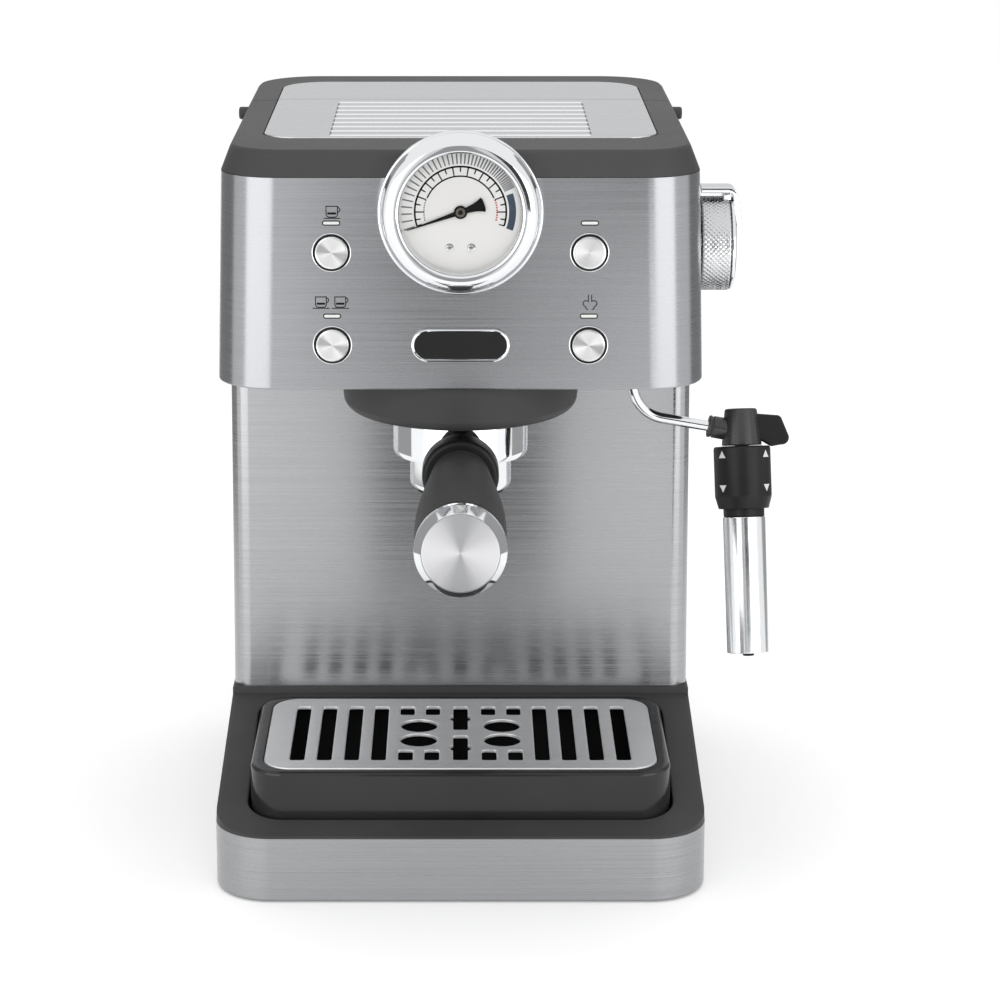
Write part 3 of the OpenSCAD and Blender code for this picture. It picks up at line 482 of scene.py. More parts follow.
# Extrudes a face, and gives the face at the new end. The old one goes if it lies inside the shape.
def pushOn(bm, face, vec):
    made = bmesh.ops.extrude_face_region(bm, geom=[face])["geom"]
    bmesh.ops.translate(bm, verts=kindOf(made, bmesh.types.BMVert), vec=vec)
    if face.is_valid and all(len(e.link_faces) > 2 for e in face.edges):
        bmesh.ops.delete(bm, geom=[face], context="FACES_ONLY")
    return kindOf(made, bmesh.types.BMFace)[0]


# Carries a face round a bend, and gives the face at its end.
def bendOn(bm, face, centre, axis, degrees, steps):
    made = sweep(bm, [face, *face.edges, *face.verts], centre, axis, degrees, steps)
    return kindOf(made["geom_last"], bmesh.types.BMFace)[0]


def prism(bm, outline, low, high, at=Matrix()):
    face = bm.faces.new([bm.verts.new(at @ Vector((x, y, low))) for x, y in outline])
    pushOn(bm, face, at.to_3x3() @ Vector((0, 0, high - low)))


# Cuts along a plane. What lies beyond it goes, unless it is kept, and the cut may be closed.
def cutAway(bm, point, normal, closeCut=False, keepAll=False):
    made = bmesh.ops.bisect_plane(
        bm, geom=bm.verts[:] + bm.edges[:] + bm.faces[:], dist=0.0005, plane_co=point, plane_no=normal,
        clear_outer=not keepAll,
    )
    if closeCut:
        bmesh.ops.holes_fill(bm, edges=kindOf(made["geom_cut"], bmesh.types.BMEdge), sides=0)


# Replaces the outermost large flat face looking one way by one with holes in it.
def pierce(bm, facing, holes):
    bm.normal_update()
    flats = [f for f in bm.faces if abs(f.normal.dot(Vector(facing))) > 0.98 and f.calc_area() > 1000]
    face = max(flats, key=lambda f: f.calc_center_median().dot(Vector(facing)))
    fillBetween(bm, [openFace(bm, face), *holes], facing)


# Plane for details that face the front: local z comes out towards the viewer.
def onFront(x, z, y=7.0):
    return moved(x, y, z) @ tilted(90, "X")


print("base and deck")
base = {
    "plan": (103.4, 102.6, 0, 236, 24, 24),
    "bandLow": 1.0,
    "bandHigh": 28.5,
    "lip": 29.5,
    "slopeFrom": 2.0,
    "slopeTo": 116.4,
    "rise": 22.5,
    "ledgeAt": 116.8,
    "ledgeRise": 2.8,
    "inlet": (-60, 17, 6.05),
    "port": (190, 7.05, 9),
}
bm = bmesh.new()
band = [
    (0.9, base["bandLow"] + 0.02), (0.3, base["bandLow"] + 0.2), (0, base["bandLow"] + 0.8),
    (0, base["bandHigh"]),
]
stacked(bm, [(shrunk(base["plan"], inset), z) for inset, z in band], steps=14, capLow=False, capHigh=False)
inletX, inletZ, inletR = base["inlet"]
pierce(bm, (0, 1, 0), [roundRing(bm, inletX, inletZ, inletR, -base["plan"][3], tilted(90, "X"))])
finishPiece(bm, "baseBand", "machine", [bandSteel], ["base_band"], wall=1.5, edge=0.15)


def deckRise(y):
    slope = min(max((y - base["slopeFrom"]) / (base["slopeTo"] - base["slopeFrom"]), 0), 1)
    step = min(max((y - base["slopeTo"]) / (base["ledgeAt"] - base["slopeTo"]), 0), 1)
    return base["rise"] * slope + base["ledgeRise"] * step


tray = {
    "plan": (88.8, 88.8, 15.2, 112.5, 14, 14),
    "recess": (83.5, 83.5, 19.7, 108.3, 12.3, 12.3),
    "mouth": (81.2, 81.2, 22, 106, 10, 10),
    "gap": 1.3,
    "floor": 11.0,
    "top": 52.0,
    "ledge": 50.75,
    "inside": 48.0,
    "wall": 3.3,
}
bm = bmesh.new()
lip = base["lip"]
outside = [
    (3.0, 6.0), (3.0, 23.6), (1.65, 23.6), (1.65, 28.56), (0.1, 28.56), (0.1, 28.8), (0.3, lip - 0.45),
    (0.9, lip - 0.12), (1.8, lip),
]
rings = [planRing(bm, shrunk(base["plan"], inset), z, 14) for inset, z in outside]
joinRings(bm, rings)
bmesh.ops.edgeloop_fill(bm, edges=rings[0])
pocket = shrunk(tray["plan"], -tray["gap"])
wellLevels = ((0.9, lip), (0.3, lip - 0.12), (0, lip - 0.4), (0, tray["floor"] + 1.2), (-1.2, tray["floor"]))
well = [planRing(bm, shrunk(pocket, -grow), z, 10) for grow, z in wellLevels]
joinRings(bm, well)
bmesh.ops.edgeloop_fill(bm, edges=well[-1])
portY, portRadius, portDepth = base["port"]
port = [roundRing(bm, 0, portY, portRadius, z) for z in (lip, lip - portDepth)]
joinRings(bm, port)
bmesh.ops.edgeloop_fill(bm, edges=port[-1])
fillBetween(bm, [rings[-1], well[0], port[0]])
for y in (base["slopeFrom"], base["slopeTo"], base["ledgeAt"]):
    cutAway(bm, (0, y, 0), (0, 1, 0), keepAll=True)
for vert in bm.verts:
    if vert.co.z > lip - 0.6 or (vert.co - Vector((0, portY, vert.co.z))).length < portRadius + 1:
        vert.co.z += deckRise(vert.co.y)
finishPiece(bm, "baseDeck", "machine", [darkAbs], ["base_deck", "tray_well"])

print("drip tray and grid")
bm = bmesh.new()
recess, mouth, ledge = tray["recess"], tray["mouth"], tray["ledge"]
outer = (
    (2.6, tray["floor"]), (1.5, 11.3), (1, 12), (1, 18.7), (0.2, 19.1), (0, 19.6), (0, 50.2), (0.2, 51.2),
    (0.8, 51.8), (1.6, tray["top"]),
)
inner = ((tray["wall"], 47.8), (tray["wall"], 15), (3.9, 13.6), (5.2, 13.2))
levels = [(shrunk(tray["plan"], inset), z) for inset, z in outer]
levels += [
    (shrunk(recess, -0.6), tray["top"]), (shrunk(recess, -0.15), 51.85), (recess, 51.5), (recess, ledge)
]
levels += [(mouth, ledge), (mouth, tray["inside"])]
levels += [(shrunk(tray["plan"], inset), z) for inset, z in inner]
stacked(bm, levels, steps=12)
finishPiece(bm, "dripTray", "tray", [trayAbs], ["drip_tray"])

grid = {
    "plan": (83.2, 83.2, 20, 108, 12, 12),
    "low": 50.8,
    "high": 52.2,
    "slotHalf": 3.15,
    "slotCorner": 1.3,
    "longSlots": (34.8, 46.2, 57.8, 69.3),
    "shortSlots": (12.2, 23.4),
    "middle": 64.0,
    "reach": 33.75,
    "shortEnds": (-21.15, 22.75),
    "holes": (18, 9, 8),
    "bulgedSlot": (3.2, 15, 4.7),
    "bulgeAt": 18.6,
}


# Outline of the slots on the middle line: straight, with a round bulge half way.
def bulgedSlot(y, grow):
    half, end, r = (size + grow for size in grid["bulgedSlot"])
    swing = math.degrees(math.acos(half / r))
    corner = grid["slotCorner"] + grow
    right = arcPoints(half - corner, corner - end, corner, -90, 0, 4) + arcPoints(0, 0, r, -swing, swing, 10)
    right += arcPoints(half - corner, end - corner, corner, 0, 90, 4)
    return [(px, y + py) for px, py in right + [(-px, -py) for px, py in right]]


bm = bmesh.new()
low, high, mid, half, reach = (grid[key] for key in ("low", "high", "middle", "slotHalf", "reach"))
holeX, holeY, holeRadius = grid["holes"]
depths = ((0.45, high), (0.12, high - 0.16), (0, high - 0.45), (0, low))
shapes = []
for side in (-1, 1):
    for x in grid["longSlots"]:
        shapes.append((side * x, mid - reach, mid + reach))
    for x in grid["shortSlots"]:
        shapes.append((side * x, mid - reach, mid + grid["shortEnds"][0]))
        shapes.append((side * x, mid + grid["shortEnds"][1], mid + reach))
edgeRings = [
    planRing(bm, shrunk(grid["plan"], inset), z, 10)
    for inset, z in ((0.15, low), (0, low + 0.2), (0, high - 0.4), (0.35, high))
]
joinRings(bm, edgeRings)
holes = []
for x, y0, y1 in shapes:
    slot = []
    for grow, z in depths:
        wide, corner = half + grow, grid["slotCorner"] + grow
        slot.append(planRing(bm, (wide, wide, y0 - grow, y1 + grow, corner, corner), z, 4, moved(x, 0, 0)))
    holes.append(slot)
for x in (-holeX, holeX):
    for y in (mid - holeY, mid + holeY):
        holes.append([roundRing(bm, x, y, holeRadius + grow, z) for grow, z in depths])
for side in (-1, 1):
    rings = []
    for grow, z in depths:
        points = [bm.verts.new((px, py, z)) for px, py in bulgedSlot(mid + side * grid["bulgeAt"], grow)]
        rings.append([bm.edges.new(pair) for pair in zip(points, points[1:] + points[:1])])
    holes.append(rings)
for hole in holes:
    joinRings(bm, hole)
fillBetween(bm, [edgeRings[-1]] + [hole[0] for hole in holes])
fillBetween(bm, [edgeRings[0]] + [hole[-1] for hole in holes], (0, 0, -1))
finishPiece(bm, "dripGrid", "grid", [gridSteel], ["drip_grid"])

print("column and head")
column = {
    "ends": ((102.3, 54.85), (101.2, 218.6)),
    "front": 118,
    "back": 148.5,
    "corner": 8,
}
bm = bmesh.new()
levels = [((half, half, column["front"], 170, column["corner"], 2), z) for half, z in column["ends"]]
stacked(bm, levels, steps=10, capLow=False, capHigh=False)
cutAway(bm, (0, column["back"], 0), (0, 1, 0))
finishPiece(bm, "columnPanel", "machine", [frontSteel], ["column_panel"], wall=1.5)

head = {
    "lowPlan": (98.4, 101.2, 7, 192, 23, 4),
    "highPlan": (96.0, 97.6, 7, 192, 23, 4),
    "low": 218.6,
    "high": 304.5,
    "buttonX": 51.2,
    "buttonRows": (274.7, 237.1),
    "buttonHole": 7.42,
    "lampRise": 11.8,
    "lamp": (3.6, 1.0),
}
buttonPlaces = [(side * head["buttonX"], z) for side in (-1, 1) for z in head["buttonRows"]]
bm = bmesh.new()
levels = [
    (shrunk(head["lowPlan"], 1.0), head["low"]), (shrunk(head["lowPlan"], 0.3), head["low"] + 0.25),
    (head["lowPlan"], head["low"] + 0.9), (head["highPlan"], head["high"]),
]
stacked(bm, levels, steps=16, capLow=False, capHigh=False)
cutAway(bm, (0, column["back"], 0), (0, 1, 0))
holes = []
for x, z in buttonPlaces:
    holes.append(roundRing(bm, 0, 0, head["buttonHole"], 0, onFront(x, z)))
    holes.append(planRing(bm, slotPlan(*head["lamp"], inset=-0.05), 0, 6, onFront(x, z + head["lampRise"])))
pierce(bm, (0, -1, 0), holes)
finishPiece(bm, "headShell", "machine", [headSteel], ["head_shell"], wall=1.5)

print("crown, cup warmer and lid")
crown = {
    "levels": [
        ((96.0, 97.6, 7.0, 236.0, 23, 30), 304.55),
        ((92.4, 92.4, 9.6, 235.2, 21, 28), 314.1),
        ((91.2, 91.2, 10.8, 234.0, 20, 27), 315.2),
    ],
    "plate": (80.2, 80.2, 41.6, 211, 13, 20),
    "plateLow": 314.4,
    "plateHigh": 315.6,
    "wall": 2.6,
    "seam": 152.0,
    "lidGap": 0.6,
    "endHalf": 90,
    "endHigh": 312.6,
    "lug": (92, 167, 307.4),
    "hinge": (52, 239, 303.5),
}


def crownShell():
    shape = bmesh.new()
    plate, wall = crown["plate"], crown["wall"]
    levels = list(crown["levels"])
    levels += [
        (shrunk(plate, -0.5), 315.2), (shrunk(plate, -0.5), 314.35), (shrunk(plate, 3), 314.35),
        (shrunk(plate, 3), 312.3),
    ]
    levels += [
        (shrunk(plan, wall), z - drop)
        for (plan, z), drop in zip(reversed(crown["levels"]), (wall, wall, 0))
    ]
    stacked(shape, levels, steps=14, hollow=True)
    return shape


bm = crownShell()
cutAway(bm, (0, crown["seam"], 0), (0, 1, 0), True)
endHalf, endHigh = crown["endHalf"], crown["endHigh"]
block(bm, (-endHalf, crown["seam"] - 2.5, 304.6), (endHalf, crown["seam"] - 0.02, endHigh))
finishPiece(
    bm, "topRim", "machine", [darkAbs], ["top_rim"], edge=0.4, edgeSteps=3, edgeAngle=25
)

bm = crownShell()
lidFront = crown["seam"] + crown["lidGap"]
cutAway(bm, (0, lidFront, 0), (0, -1, 0), True)
block(bm, (-endHalf, lidFront + 0.02, 304.8), (endHalf, lidFront + 2.4, endHigh))
lugX, lugY, lugZ = crown["lug"]
hingeX, hingeY, hingeZ = crown["hinge"]
lugProfile = [(0, 0), (2.8, 0), (2.8, 5.9), (2.5, 6.5), (1.9, 6.7), (0, 6.7)]
barrelProfile = [(1.25, 0), (2.4, 0), (2.6, 0.2), (2.6, 7.4), (2.4, 7.6), (1.25, 7.6)]
for side in (-1, 1):
    turned(bm, lugProfile, 40, moved(side * lugX, lugY, lugZ) @ tilted(90 * side, "Y"))
    turned(bm, barrelProfile, 32, moved(side * hingeX - 3.8, hingeY, hingeZ) @ tilted(90, "Y"), closed=True)
    block(bm, (side * hingeX - 3.7, 234.2, 304.6), (side * hingeX + 3.7, hingeY, hingeZ + 2.5))
finishPiece(
    bm, "tankLid", "lid", [darkAbs], ["tank_lid"], edge=0.4, edgeSteps=3, edgeAngle=25
)

ribs = {
    "count": 9,
    "half": 53.4,
    "first": 45.8,
    "pitch": 11.96,
    "width": 1.3,
    "crest": ((0, 315.45), (0.1, 315.68), (0.45, 315.88), (0.9, 315.98)),
}
for name, node, body, keepFrom, keepTo in (
    ("cupWarmerPlate", "cup_warmer_plate", "machine", 0, crown["seam"]),
    ("tankLidPlate", "tank_lid_plate", "lid", lidFront, 300),
):
    bm = bmesh.new()
    levels = [
        (0.3, crown["plateLow"]), (0, crown["plateLow"] + 0.3), (0, crown["plateHigh"] - 0.45),
        (0.15, crown["plateHigh"] - 0.12), (0.5, crown["plateHigh"]),
    ]
    stacked(bm, [(shrunk(crown["plate"], inset), z) for inset, z in levels], steps=12)
    if keepFrom:
        cutAway(bm, (0, keepFrom, 0), (0, -1, 0), True)
    cutAway(bm, (0, keepTo, 0), (0, 1, 0), True)
    finishPiece(bm, name, body, [topSteel], [node])

bm = bmesh.new()
for i in range(ribs["count"]):
    y, w, half = ribs["first"] + i * ribs["pitch"], ribs["width"], ribs["half"]
    stacked(bm, [(slotPlan(half, w, inset, y), z) for inset, z in ribs["crest"]], steps=5)
finishPiece(bm, "warmerRibs", "machine", [ribSteel], crease=60)
# Short grey strips at the rib ends, between the ribs: painted shadow.
bm = bmesh.new()
for i in range(ribs["count"] - 1):
    for side in (-1, 1):
        y = ribs["first"] + i * ribs["pitch"]
        block(bm, (side * 53.0 - 0.35, y + 2.2, 315.55), (side * 53.0 + 0.35, y + 9.6, 315.64))
finishPiece(bm, "ribEndShadowLines", "machine", [greyInkAndShadow])

print("dial")
dial = {"z": 292.2, "needleAngle": -19, "screws": (4.3, 278.0)}
dialAt = onFront(0, dial["z"], 0)
bezelProfile = [(25.4, 0.25), (25.4, 1.9), (23.95, 1.9), (23.9, 3.3), (24.0, 5.6)]
bezelProfile += arcPoints(25.6, 6.2, 1.6, 165, 80, 5)
bezelProfile += [(27.2, 7.75), (28.4, 7.4), (29.5, 6.75), (30.4, 5.85), (31.1, 4.7), (31.5, 3.6)]
bezelProfile += arcPoints(31.9, 2.6, 0.7, 95, 0, 4)
bezelProfile += [(32.6, 1.6), (31.4, -6.3), (31.2, -6.6), (29.9, -6.6), (31.0, 0.25)]
turnedPiece(
    bezelProfile, 160, dialAt, "dialBezel", "machine", chrome, ["gauge_bezel"], crease=30
)
faceProfile = [(0.86, 0.2), (24.9, 0.2), (25.3, 0), (25.3, -0.9), (0.86, -0.9)]
turnedPiece(faceProfile, 128, dialAt, "dialFace", "machine", dialPaint, ["gauge_dial"])

# Radii are in units of 0.393 mm, and angles in degrees from the top.
scale = {
    "unit": 0.393,
    "ink": (0.2, 0.25),
    "span": 108,
    "outerRing": (44.9, 46.7),
    "innerRing": (35.4, 36.9, 67),
    "ticks": (40.5, 36.4, 46),
    "fineTicks": (48.5, 59.4),
    "fineEnd": 65,
    "firstGap": 8.0,
    "shrink": 0.9653,
    "slateBar": (48.6, 55.6, 70, 110),
    "redDashes": (35.7, 37.5),
    "greyDashes": (35.9, 37.3),
    "dash": (70.5, 72.6),
    "dashes": 9,
    "dashPitch": 3.9,
}


def printBand(bm, inner, outer, start, end, finish=0, steps=1):
    unit = scale["unit"]
    clockBand(bm, inner * unit, outer * unit, start, end, *scale["ink"], dialAt, finish, steps)


bm = bmesh.new()
span = scale["span"]
innerLow, innerHigh, innerSpan = scale["innerRing"]
shortTick, longTick, tickTop = scale["ticks"]
printBand(bm, *scale["outerRing"], -span, span, 0, 60)
printBand(bm, innerLow, innerHigh, -innerSpan, innerSpan, 0, 40)
for angle in (-span, span):
    printBand(bm, shortTick, tickTop, angle - 0.8, angle + 0.8)
for i in range(-10, 11):
    printBand(bm, longTick if i % 2 else shortTick, tickTop, i * 10 - 0.9, i * 10 + 0.9)
angle, gap = -span, scale["firstGap"]
while angle < scale["fineEnd"]:
    printBand(bm, *scale["fineTicks"], angle - 0.75, angle + 0.75, 1)
    angle += gap
    gap *= scale["shrink"]
printBand(bm, *scale["slateBar"], 2, 12)
for i in range(scale["dashes"]):
    start, end = (angle + i * scale["dashPitch"] for angle in scale["dash"])
    printBand(bm, *scale["redDashes"], start, end, 3)
    printBand(bm, *scale["greyDashes"], -end, -start, 1)
finishPiece(bm, "dialPrint", "machine", [blackInk, greyInkAndShadow, slateInk, redInk])

bm = bmesh.new()
for side in (-1, 1):
    at = onFront(side * dial["screws"][0], dial["screws"][1], 0)
    turned(bm, [(0, 0.22), (1.6, 0.22), (1.62, 0.5), (1.4, 0.72), (0.9, 0.8), (0, 0.8)], 32, at)
    block(bm, (-1.2, -0.16, 0.7), (1.2, 0.16, 0.82), at, 1)
finishPiece(bm, "dialScrews", "machine", [softChrome, blackInk], ["dial_screws"])

needle = {
    "tip": 22.4,
    "tail": [(3, 1.15), (6, 1.65), (8, 2.3), (9.4, 3.0), (9.9, 1.6)],
    "low": 0.85,
    "high": 1.25,
}
bm = bmesh.new()
lean = dialAt @ tilted(-dial["needleAngle"], "Z")
upper = [(-needle["tip"], 0.1), (-10, 0.55), (0, 1.0)] + needle["tail"]
prism(bm, upper + [(x, -y) for x, y in reversed(upper)], needle["low"], needle["high"], lean)
hubCup = [(0, 0.6), (2.6, 0.6), (2.63, 1.2), (2.45, 1.5), (1.9, 1.6), (1.85, 1.45), (0, 1.45)]
turned(bm, hubCup, 48, dialAt)
turned(bm, [(0, -8), (0.78, -8), (0.78, 0.62), (0, 0.62)], 24, dialAt)
finishPiece(bm, "dialNeedle", "needle", [blackInk], ["gauge_needle"])
hubProfile = [(0.95, 1.4), (1.88, 1.4), (1.88, 1.56), (0.95, 1.62)]
turnedPiece(hubProfile, 40, dialAt, "needleHubRing", "needle", hubPaint)
pinProfile = [(0, 1.2), (0.94, 1.2), (0.94, 1.62), (0.8, 1.68), (0, 1.7)]
turnedPiece(pinProfile, 32, dialAt, "needlePin", "needle", blackInk, closed=False)

print("buttons and lamps")
button = {
    "cap": [
        (0, -8.4), (2, -8.4), (2, -4.5), (6.5, -4.5), (6.6, -4.3), (6.6, 0.95), (6.45, 1.3), (6.1, 1.44),
        (5.6, 1.4), (3.0, 1.36), (0, 1.34),
    ],
    "ring": [(7.4, 0.03), (7.95, 0.03), (7.95, 0.35), (7.82, 0.6), (7.65, 0.68), (7.48, 0.6), (7.4, 0.35)],
    "well": [(6.76, -2.9), (7.34, -2.9), (7.38, 0.3), (7.25, 0.42), (6.9, 0.42), (6.76, 0.25)],
    # Colours of the painted bow-tie reflection on the button faces, and the lean of its wedges.
    "paintedDarkWedge": "#a6a6a6",
    "paintedPaleWedge": "#e4e4e4",
    "light": "#e6e6e6",
    "lean": 19,
}
for name, node, body, paintedDarkWedge, (x, z) in (
    ("singleCupButton", "button_single", "single_button", button["paintedDarkWedge"], buttonPlaces[0]),
    ("doubleCupButton", "button_double", "double_button", button["paintedDarkWedge"], buttonPlaces[1]),
    ("powerButton", "button_power", "power_button", button["paintedPaleWedge"], buttonPlaces[2]),
    ("steamButton", "button_steam", "steam_button", button["paintedDarkWedge"], buttonPlaces[3]),
):
    # Each button face carries the painted bow-tie reflection; the power button's wedges are paler.
    buttonFinish = turnedFace(
        f"turned stainless, painted reflection, {name}", paintedDarkWedge, button["light"], toRow @ Vector((x, 7, z)), button["lean"]
    )
    turnedPiece(
        button["cap"], 72, onFront(x, z), name, body, buttonFinish, [node], closed=False
    )

# The wells inside the button holes are black, so that the gap round each button reads dark: painted shade.
for name, part, finish, slotName, covers, crease in (
    ("buttonRings", "ring", softChrome, "bright_chrome", ["button_rings"], 40),
    ("buttonWellsPaintedShade", "well", blackAbs, "black_plastic", [], 35),
):
    bm = bmesh.new()
    for x, z in buttonPlaces:
        turned(bm, button[part], 72, onFront(x, z), closed=True)
    finishPiece(bm, name, "machine", [finish], covers, crease=crease)

# Each lamp is a black frame round a pale lens: (inset, height) from the hole's outline.
for name, finish, covers, smaller, levels in (
    (
        "lampFrames", blackAbs, ["indicator_lenses"], 0,
        ((0, -2.0), (0, 0.05), (0.08, 0.15), (0.3, 0.15), (0.36, 0.02)),
    ),
    ("lampLenses", lampPaint, [], 0.42, ((0, 0.03), (0, 0.12), (0.12, 0.2))),
):
    bm = bmesh.new()
    half, tall = (size - smaller for size in head["lamp"])
    plans = [(slotPlan(half, tall, inset), h) for inset, h in levels]
    for x, z in buttonPlaces:
        stacked(bm, plans, steps=6, at=onFront(x, z + head["lampRise"]))
    finishPiece(bm, name, "machine", [finish], covers)

print("badge plate")
badge = {"half": (19.7, 6.75), "z": 237.1}
for name, finish, slotName, covers, levels in (
    (
        "badgeRim", chrome, "bright_chrome", ["badge_plate"],
        ((0, 0.05), (0, 0.9), (0.2, 1.4), (0.6, 1.6), (1.0, 1.5), (1.3, 1.15)),
    ),
    ("badgeField", blackAbs, "black_plastic", [], ((1.3, 1.17), (1.3, 1.22), (1.5, 1.27))),
):
    bm = bmesh.new()
    plans = [(slotPlan(*badge["half"], inset, short=0.05), h) for inset, h in levels]
    stacked(bm, plans, steps=16, at=onFront(0, badge["z"]))
    finishPiece(bm, name, "machine", [finish], covers)

print("group and portafilter")
group = {"y": 60.0, "collarLow": 199.3, "lugs": (147, 327), "lugSpan": 36}
groupAt = moved(0, group["y"], 0)
low = group["collarLow"]
collarProfile = [(36.2, low), (39.5, low), (41.5, low + 0.15)]
collarProfile += arcPoints(43, low + 6, 6, 285, 345, 10)
collarProfile += [
    (49.6, 211), (50.2, 217.6), (50.0, 218.5), (49.2, 218.9), (41.1, 218.9), (41.1, low + 3.8),
    (36.0, low + 3.8), (36.0, low + 0.2),
]
turnedPiece(
    collarProfile, 160, groupAt, "groupCollar", "machine", darkAbs, ["group_collar"],
    crease=40,
)

bm = bmesh.new()
bodyProfile = [
    (0, 165.3), (19.4, 165.3), (20.7, 165.7), (21.2, 166.6), (21.3, 167.6), (21.3, 177.8), (21.8, 179.0),
    (23, 179.5), (26.6, 179.6), (27.8, 180.0),
]
bodyProfile += [
    (28.25, 181), (28.3, 182.4), (28.3, 207.4), (27.9, 208.2), (26.4, 208.2), (26.35, 182.7), (19.2, 182.7),
    (19.0, 167.6), (0, 167.6),
]
turned(bm, bodyProfile, 128, groupAt)
handleAt = moved(0, group["y"], 182.2) @ tilted(94, "X")
turned(bm, [(8.98, 19), (8.98, 33.9), (0, 33.9), (0, 19)], 48, handleAt, closed=True)
for start in group["lugs"]:
    corners = [
        bm.verts.new(groupAt @ tilted(start, "Z") @ Vector((r, 0, z)))
        for r, z in ((27.5, 205.2), (33.8, 205.2), (33.8, 207.9), (27.5, 207.9))
    ]
    sweepFace(bm, corners, groupAt, group["lugSpan"], 12)
finishPiece(bm, "portafilterBody", "portafilter", [chrome], ["portafilter_body"], crease=40)

spoutProfile = [
    (2.4, 162.4), (3.3, 161.95), (4.3, 162.05), (4.9, 162.6), (5, 163.3), (5, 165.2), (0, 165.2), (0, 163.9),
    (2.4, 163.9),
]
spout = {"apart": 13.4, "bridge": (4.8, 162.4, 165.15)}
bm = bmesh.new()
for side in (-1, 1):
    at = groupAt @ moved(side * spout["apart"], 0, 0)
    turned(bm, spoutProfile, 40, at, closed=True)
turned(bm, [(0, 162), (6.6, 162), (7.6, 162.4), (8, 163.2), (8, 165.22), (0, 165.22)], 48, groupAt)
half, low, high = spout["bridge"]
block(bm, (-13, group["y"] - half, low), (13, group["y"] + half, high))
finishPiece(
    bm, "twinSpout", "portafilter", [blackAbs], ["twin_spout"], edge=0.3, edgeAngle=50
)

ferruleProfile = [
    (9.05, 32.6), (15.2, 32.6), (15.6, 32.9), (15.75, 33.5), (15.75, 41.0), (15.5, 41.9), (14.7, 42.6),
    (13.8, 42.97), (0, 42.97), (0, 34.1), (9.05, 34.1),
]
turnedPiece(
    ferruleProfile, 96, handleAt, "handleFerrule", "portafilter", blackAbs,
    ["handle_ferrule"],
)

handle = {
    "start": 43.02,
    "end": 124.0,
    "full": 106.0,
    "thin": 12.1,
    "thick": 17.9,
    "tilt": 10.4,
    "rows": 45,
}
capAt = handleAt @ moved(0, 0, handle["end"]) @ tilted(-handle["tilt"], "X")
capOut = capAt.to_3x3() @ Vector((0, 0, 1))
bm = bmesh.new()
gripProfile = [(0, handle["start"])]
for i in range(handle["rows"] + 1):
    along = handle["start"] + (handle["end"] + 4 - handle["start"]) * i / handle["rows"]
    t = min((along - 43) / (handle["full"] - 43), 1)
    swell = 0.65 * math.sin(math.radians(90 * t)) + 0.35 * t * t * (3 - 2 * t)
    gripProfile.append((handle["thin"] + (handle["thick"] - handle["thin"]) * swell, along))
gripProfile.append((0, handle["end"] + 4))
turned(bm, gripProfile, 96, handleAt)
weld(bm)
cutAway(bm, capAt.translation - capOut * 0.03, capOut, True)
finishPiece(bm, "handleGrip", "portafilter", [softBlack], ["handle_grip"])

capProfile = [
    (0, 0.02), (17.4, 0.02), (17.8, 0.22), (17.9, 0.7), (17.9, 7.4), (17.78, 7.8), (15.4, 12.35),
    (15.15, 12.75), (14.98, 12.75), (14.9, 12.4), (14.9, 12.02), (0, 12.02),
]
turnedPiece(
    capProfile, 128, capAt, "handleCap", "portafilter", chrome, ["handle_cap"], closed=False,
    crease=20,
)
discProfile = [(0, 12.04), (14.84, 12.04), (14.84, 12.5), (14.7, 12.6), (0, 12.6)]
# The disc carries the painted bow-tie reflection as well: darker wedges across a light face.
discFinish = turnedFace(
    "turned stainless, painted reflection, handle disc", "#cfd0d2", "#e8e8ea", toRow @ (capAt @ Vector((0, 0, 12.6))), 90
)
turnedPiece(
    discProfile, 128, capAt, "handleDisc", "portafilter", discFinish, ["handle_disc"],
    closed=False,
)

print("steam knob")
knob = {
    "y": 60.0,
    "z": 268.6,
    "radius": 19.5,
    "inside": 98.6,
    "outside": 111.0,
    "teeth": 60,
    "depth": 0.55,
}
knobAt = moved(0, knob["y"], knob["z"]) @ tilted(90, "Y")
bm = bmesh.new()
r, x0, x1 = knob["radius"], knob["inside"], knob["outside"]
rows = 20  # round the drum's side, for the knurl to be cut in
drumProfile = [(17.0, x0), (18.6, x0)]
drumProfile += [(r, x0 + 0.6 + (x1 - x0 - 1.2) * i / rows) for i in range(rows + 1)]
drumProfile += [(18.6, x1), (0, x1)]
turned(bm, drumProfile, knob["teeth"] * 6, knobAt)
turned(bm, [(17.0, x0), (17.0, x1 - 3), (0, x1 - 3)], knob["teeth"] * 6, knobAt)
stemProfile = [(0, 70), (3, 70), (3, x0 + 1.5), (5, x0 + 1.5), (5, x1 - 2.9), (0, x1 - 2.9)]
turned(bm, stemProfile, 40, knobAt)
weld(bm)
for vert in bm.verts:
    offset = Vector((0, vert.co.y - knob["y"], vert.co.z - knob["z"]))
    if offset.length > r - 0.05:
        turnAngle = math.atan2(offset.z, offset.y) * knob["teeth"]
        slide = (vert.co.x - x0) / (2 * math.pi * r / knob["teeth"]) * 2 * math.pi
        peak = min(abs(math.sin((turnAngle + slide) / 2)), abs(math.sin((turnAngle - slide) / 2)))
        vert.co -= offset.normalized() * knob["depth"] * (1 - min(peak * 1.5, 1))
finishPiece(bm, "steamKnob", "knob", [knurlSteel], ["steam_knob"], crease=180)

